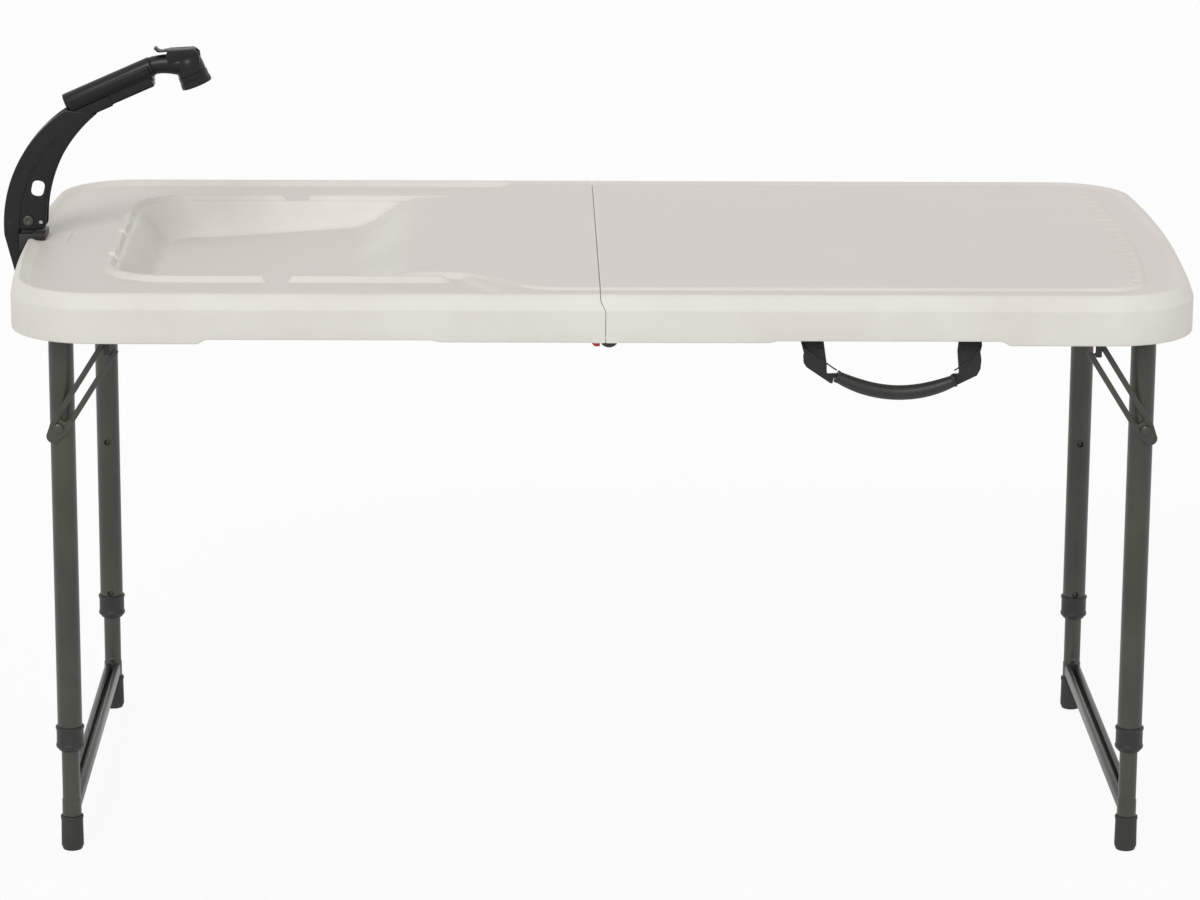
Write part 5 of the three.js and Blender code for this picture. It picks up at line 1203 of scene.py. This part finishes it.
def gripShape():
    count = 28
    path, scales = [], []
    for k in range(count + 1):
        share = 2 * k / count - 1
        path.append((carry["middle"] + carry["reach"] * share, 0,
                     -carry["drop"] - carry["sag"] * (1 - share * share) - carry["tilt"] * share))
        scales.append(carry["endSize"] + (1 - carry["endSize"]) * (1 - share ** 4))
    section = []
    for k in range(48):
        a = 2 * math.pi * k / 48
        out = carry["radius"] + carry["ridge"] * max(0, math.cos(2 * (a - 0.35))) ** 8
        section.append((out * math.cos(a), out * math.sin(a)))
    return merge(sweep(path, section, (0, 1, 0), scales), *gripCollars(path))


def gripCollars(path):
    collars = []
    square = rounded([(-5.8, -6.2), (5.8, -6.2), (5.8, 6.2), (-5.8, 6.2)], 2.4, 4)
    for inner, outer in ((1, 0), (-2, -1)):
        start, end = Vector(path[outer]), Vector(path[inner])
        collars.append(sweep([start - (end - start) * 0.12, start + (end - start) * 0.42], square, (0, 1, 0)))
    return collars


for side, end in ((-1, "left"), (1, "right")):
    newPiece(end + "Strap", shifted(strapShape(side), carry["at"]), band, "handle", end + "_handle_strap", 50)
    softened(end + "_handle_anchor", black, "right_half", 0.4)
newPiece("carryGrip", shifted(gripShape(), carry["at"]), black, "handle", "handle_grip", 40)
print("handle built")


# Latch, hinges and drain

softened("latch_catch", black, "right_half", 0.7)
softened("latch_tab", red, "latch_tab", 0.9)
hinge = {"x": 1, "z": 553, "half": 30, "pin": 1.9}
for place, y in (("front", -top["hingeY"]), ("rear", top["hingeY"])):
    for end in ("left", "right"):
        softened(f"{place}_hinge_{end}_leaf", plated, end + "_half", 0.3)
    pin = rod((hinge["x"], y - hinge["half"], hinge["z"]), (hinge["x"], y + hinge["half"], hinge["z"]),
              hinge["pin"], 24, 0.3)
    newPiece(place + "HingePin", pin, plated, "left_half", place + "_hinge_pin")

drainAt = (*drainPlace, top["deck"] - sink["depth"])
flangeProfile = [(12, -16), (13, -16.0), (15.6, -15.8), (16, -15.2), (16, 0.3), (22, 0.3), (22, 0.9),
                 (21.4, 1.6), (19.6, 2.0), (15.2, 2.0), (13.4, 1.8), (12.6, 1.2), (12, 0), (12, -16)]
plugProfile = [(0, -8), (10.2, -8), (10.8, -7.4), (11.5, 2.2), (14.6, 2.3), (15, 2.7), (15, 4), (14.4, 4.7),
               (6, 4.8), (4.3, 5.4), (4, 6.4), (4.1, 9.2), (3.6, 10.4), (2.4, 10.9), (0, 11)]
newPiece("drainFlange", lathe(flangeProfile, drainAt, sides=64), black, "left_half", "drain_fitting", 30)
newPiece("drainStopper", lathe(plugProfile, drainAt, sides=56), rubber, "drain_plug", "drain_plug", 30)
softened("drain_nut", black, "left_half", 0.5)
print("latch, hinges and drain built")


# Floor, light and camera

def stageLook():
    material = bpy.data.materials.new("studioFloor")
    material.use_nodes = True
    graph = Graph(material.node_tree)
    place = graph.other(graph.node("ShaderNodeTexCoord"), "Object")
    soft = graph.spread(graph.noise(place, 0.7, 3), 0.3, 0.7)
    paper = graph.node("ShaderNodeBsdfPrincipled", None, {
        "Base Color": graph.blend(soft, (0.86, 0.86, 0.86, 1), (0.84, 0.84, 0.845, 1)), "Roughness": 0.9})
    clear = graph.node("ShaderNodeBsdfTransparent", None, {"Color": (1, 1, 1, 1)})
    seen = graph.node("ShaderNodeLightPath")
    both = graph.other(seen, "Is Camera Ray").math("MAXIMUM", graph.other(seen, "Is Glossy Ray"))
    graph.node("ShaderNodeOutputMaterial", None,
               {"Surface": graph.node("ShaderNodeMixShader", None, {0: both * 0.9, 1: paper, 2: clear})})
    return material


ground = bpy.data.meshes.new("studioFloor")
ground.from_pydata([(-30, -30, 0), (30, -30, 0), (30, 30, 0), (-30, 30, 0)], [], [(0, 1, 2, 3)])
ground.materials.append(stageLook())
floor = placed("studioFloor", ground)

light = {"world": 0.62, "sun": 1.3, "elevation": 38, "azimuth": -16, "softness": 25}
world = bpy.data.worlds.new("studioLight")
world.use_nodes = True
bpy.context.scene.world = world
sky = Graph(world.node_tree)
path = sky.node("ShaderNodeLightPath")
shown = sky.other(path, "Is Camera Ray").math("MAXIMUM", sky.other(path, "Is Glossy Ray")).math(
    "MAXIMUM", sky.other(path, "Is Transmission Ray"))
sky.node("ShaderNodeOutputWorld", None, {"Surface": sky.node("ShaderNodeMixShader", None, {
    0: shown,
    1: sky.node("ShaderNodeBackground", None, {"Color": (1, 1, 1, 1), "Strength": light["world"]}),
    2: sky.node("ShaderNodeBackground", None, {"Color": (1, 1, 1, 1), "Strength": 1.0})})})
sun = placed("keyLight", bpy.data.lights.new("keyLight", "SUN"))
sun.data.energy = light["sun"]
sun.data.angle = math.radians(light["softness"])
height, around = math.radians(light["elevation"]), math.radians(light["azimuth"])
toSun = Vector((math.sin(around) * math.cos(height), -math.cos(around) * math.cos(height), math.sin(height)))
sun.rotation_euler = toSun.to_track_quat("Z", "Y").to_euler()

view = {"focal": 4487.9, "frame": 1200, "pitch": 14.392, "yaw": 1.046, "roll": 0.371,
        "place": (-83.4, -4658.2, 1561.0)}
pitch, yaw, roll = (math.radians(view[k]) for k in ("pitch", "yaw", "roll"))
forward = Vector((math.sin(yaw) * math.cos(pitch), math.cos(yaw) * math.cos(pitch), -math.sin(pitch)))
right = Vector((math.cos(yaw), -math.sin(yaw), 0))
upward = right.cross(forward)
turnedRight = right * math.cos(roll) + upward * math.sin(roll)
turnedUp = upward * math.cos(roll) - right * math.sin(roll)
camera = placed("portrait", bpy.data.cameras.new("portrait"))
camera.data.sensor_width = 36
camera.data.lens = view["focal"] / view["frame"] * 36
camera.data.clip_end = 100
pose = Matrix((turnedRight, turnedUp, -forward)).transposed().to_4x4()
pose.translation = Vector(view["place"]) / 1000 + Vector((middleX, 0, 0))
camera.matrix_world = pose
bpy.context.scene.camera = camera
bpy.context.scene.view_settings.view_transform = "Standard"
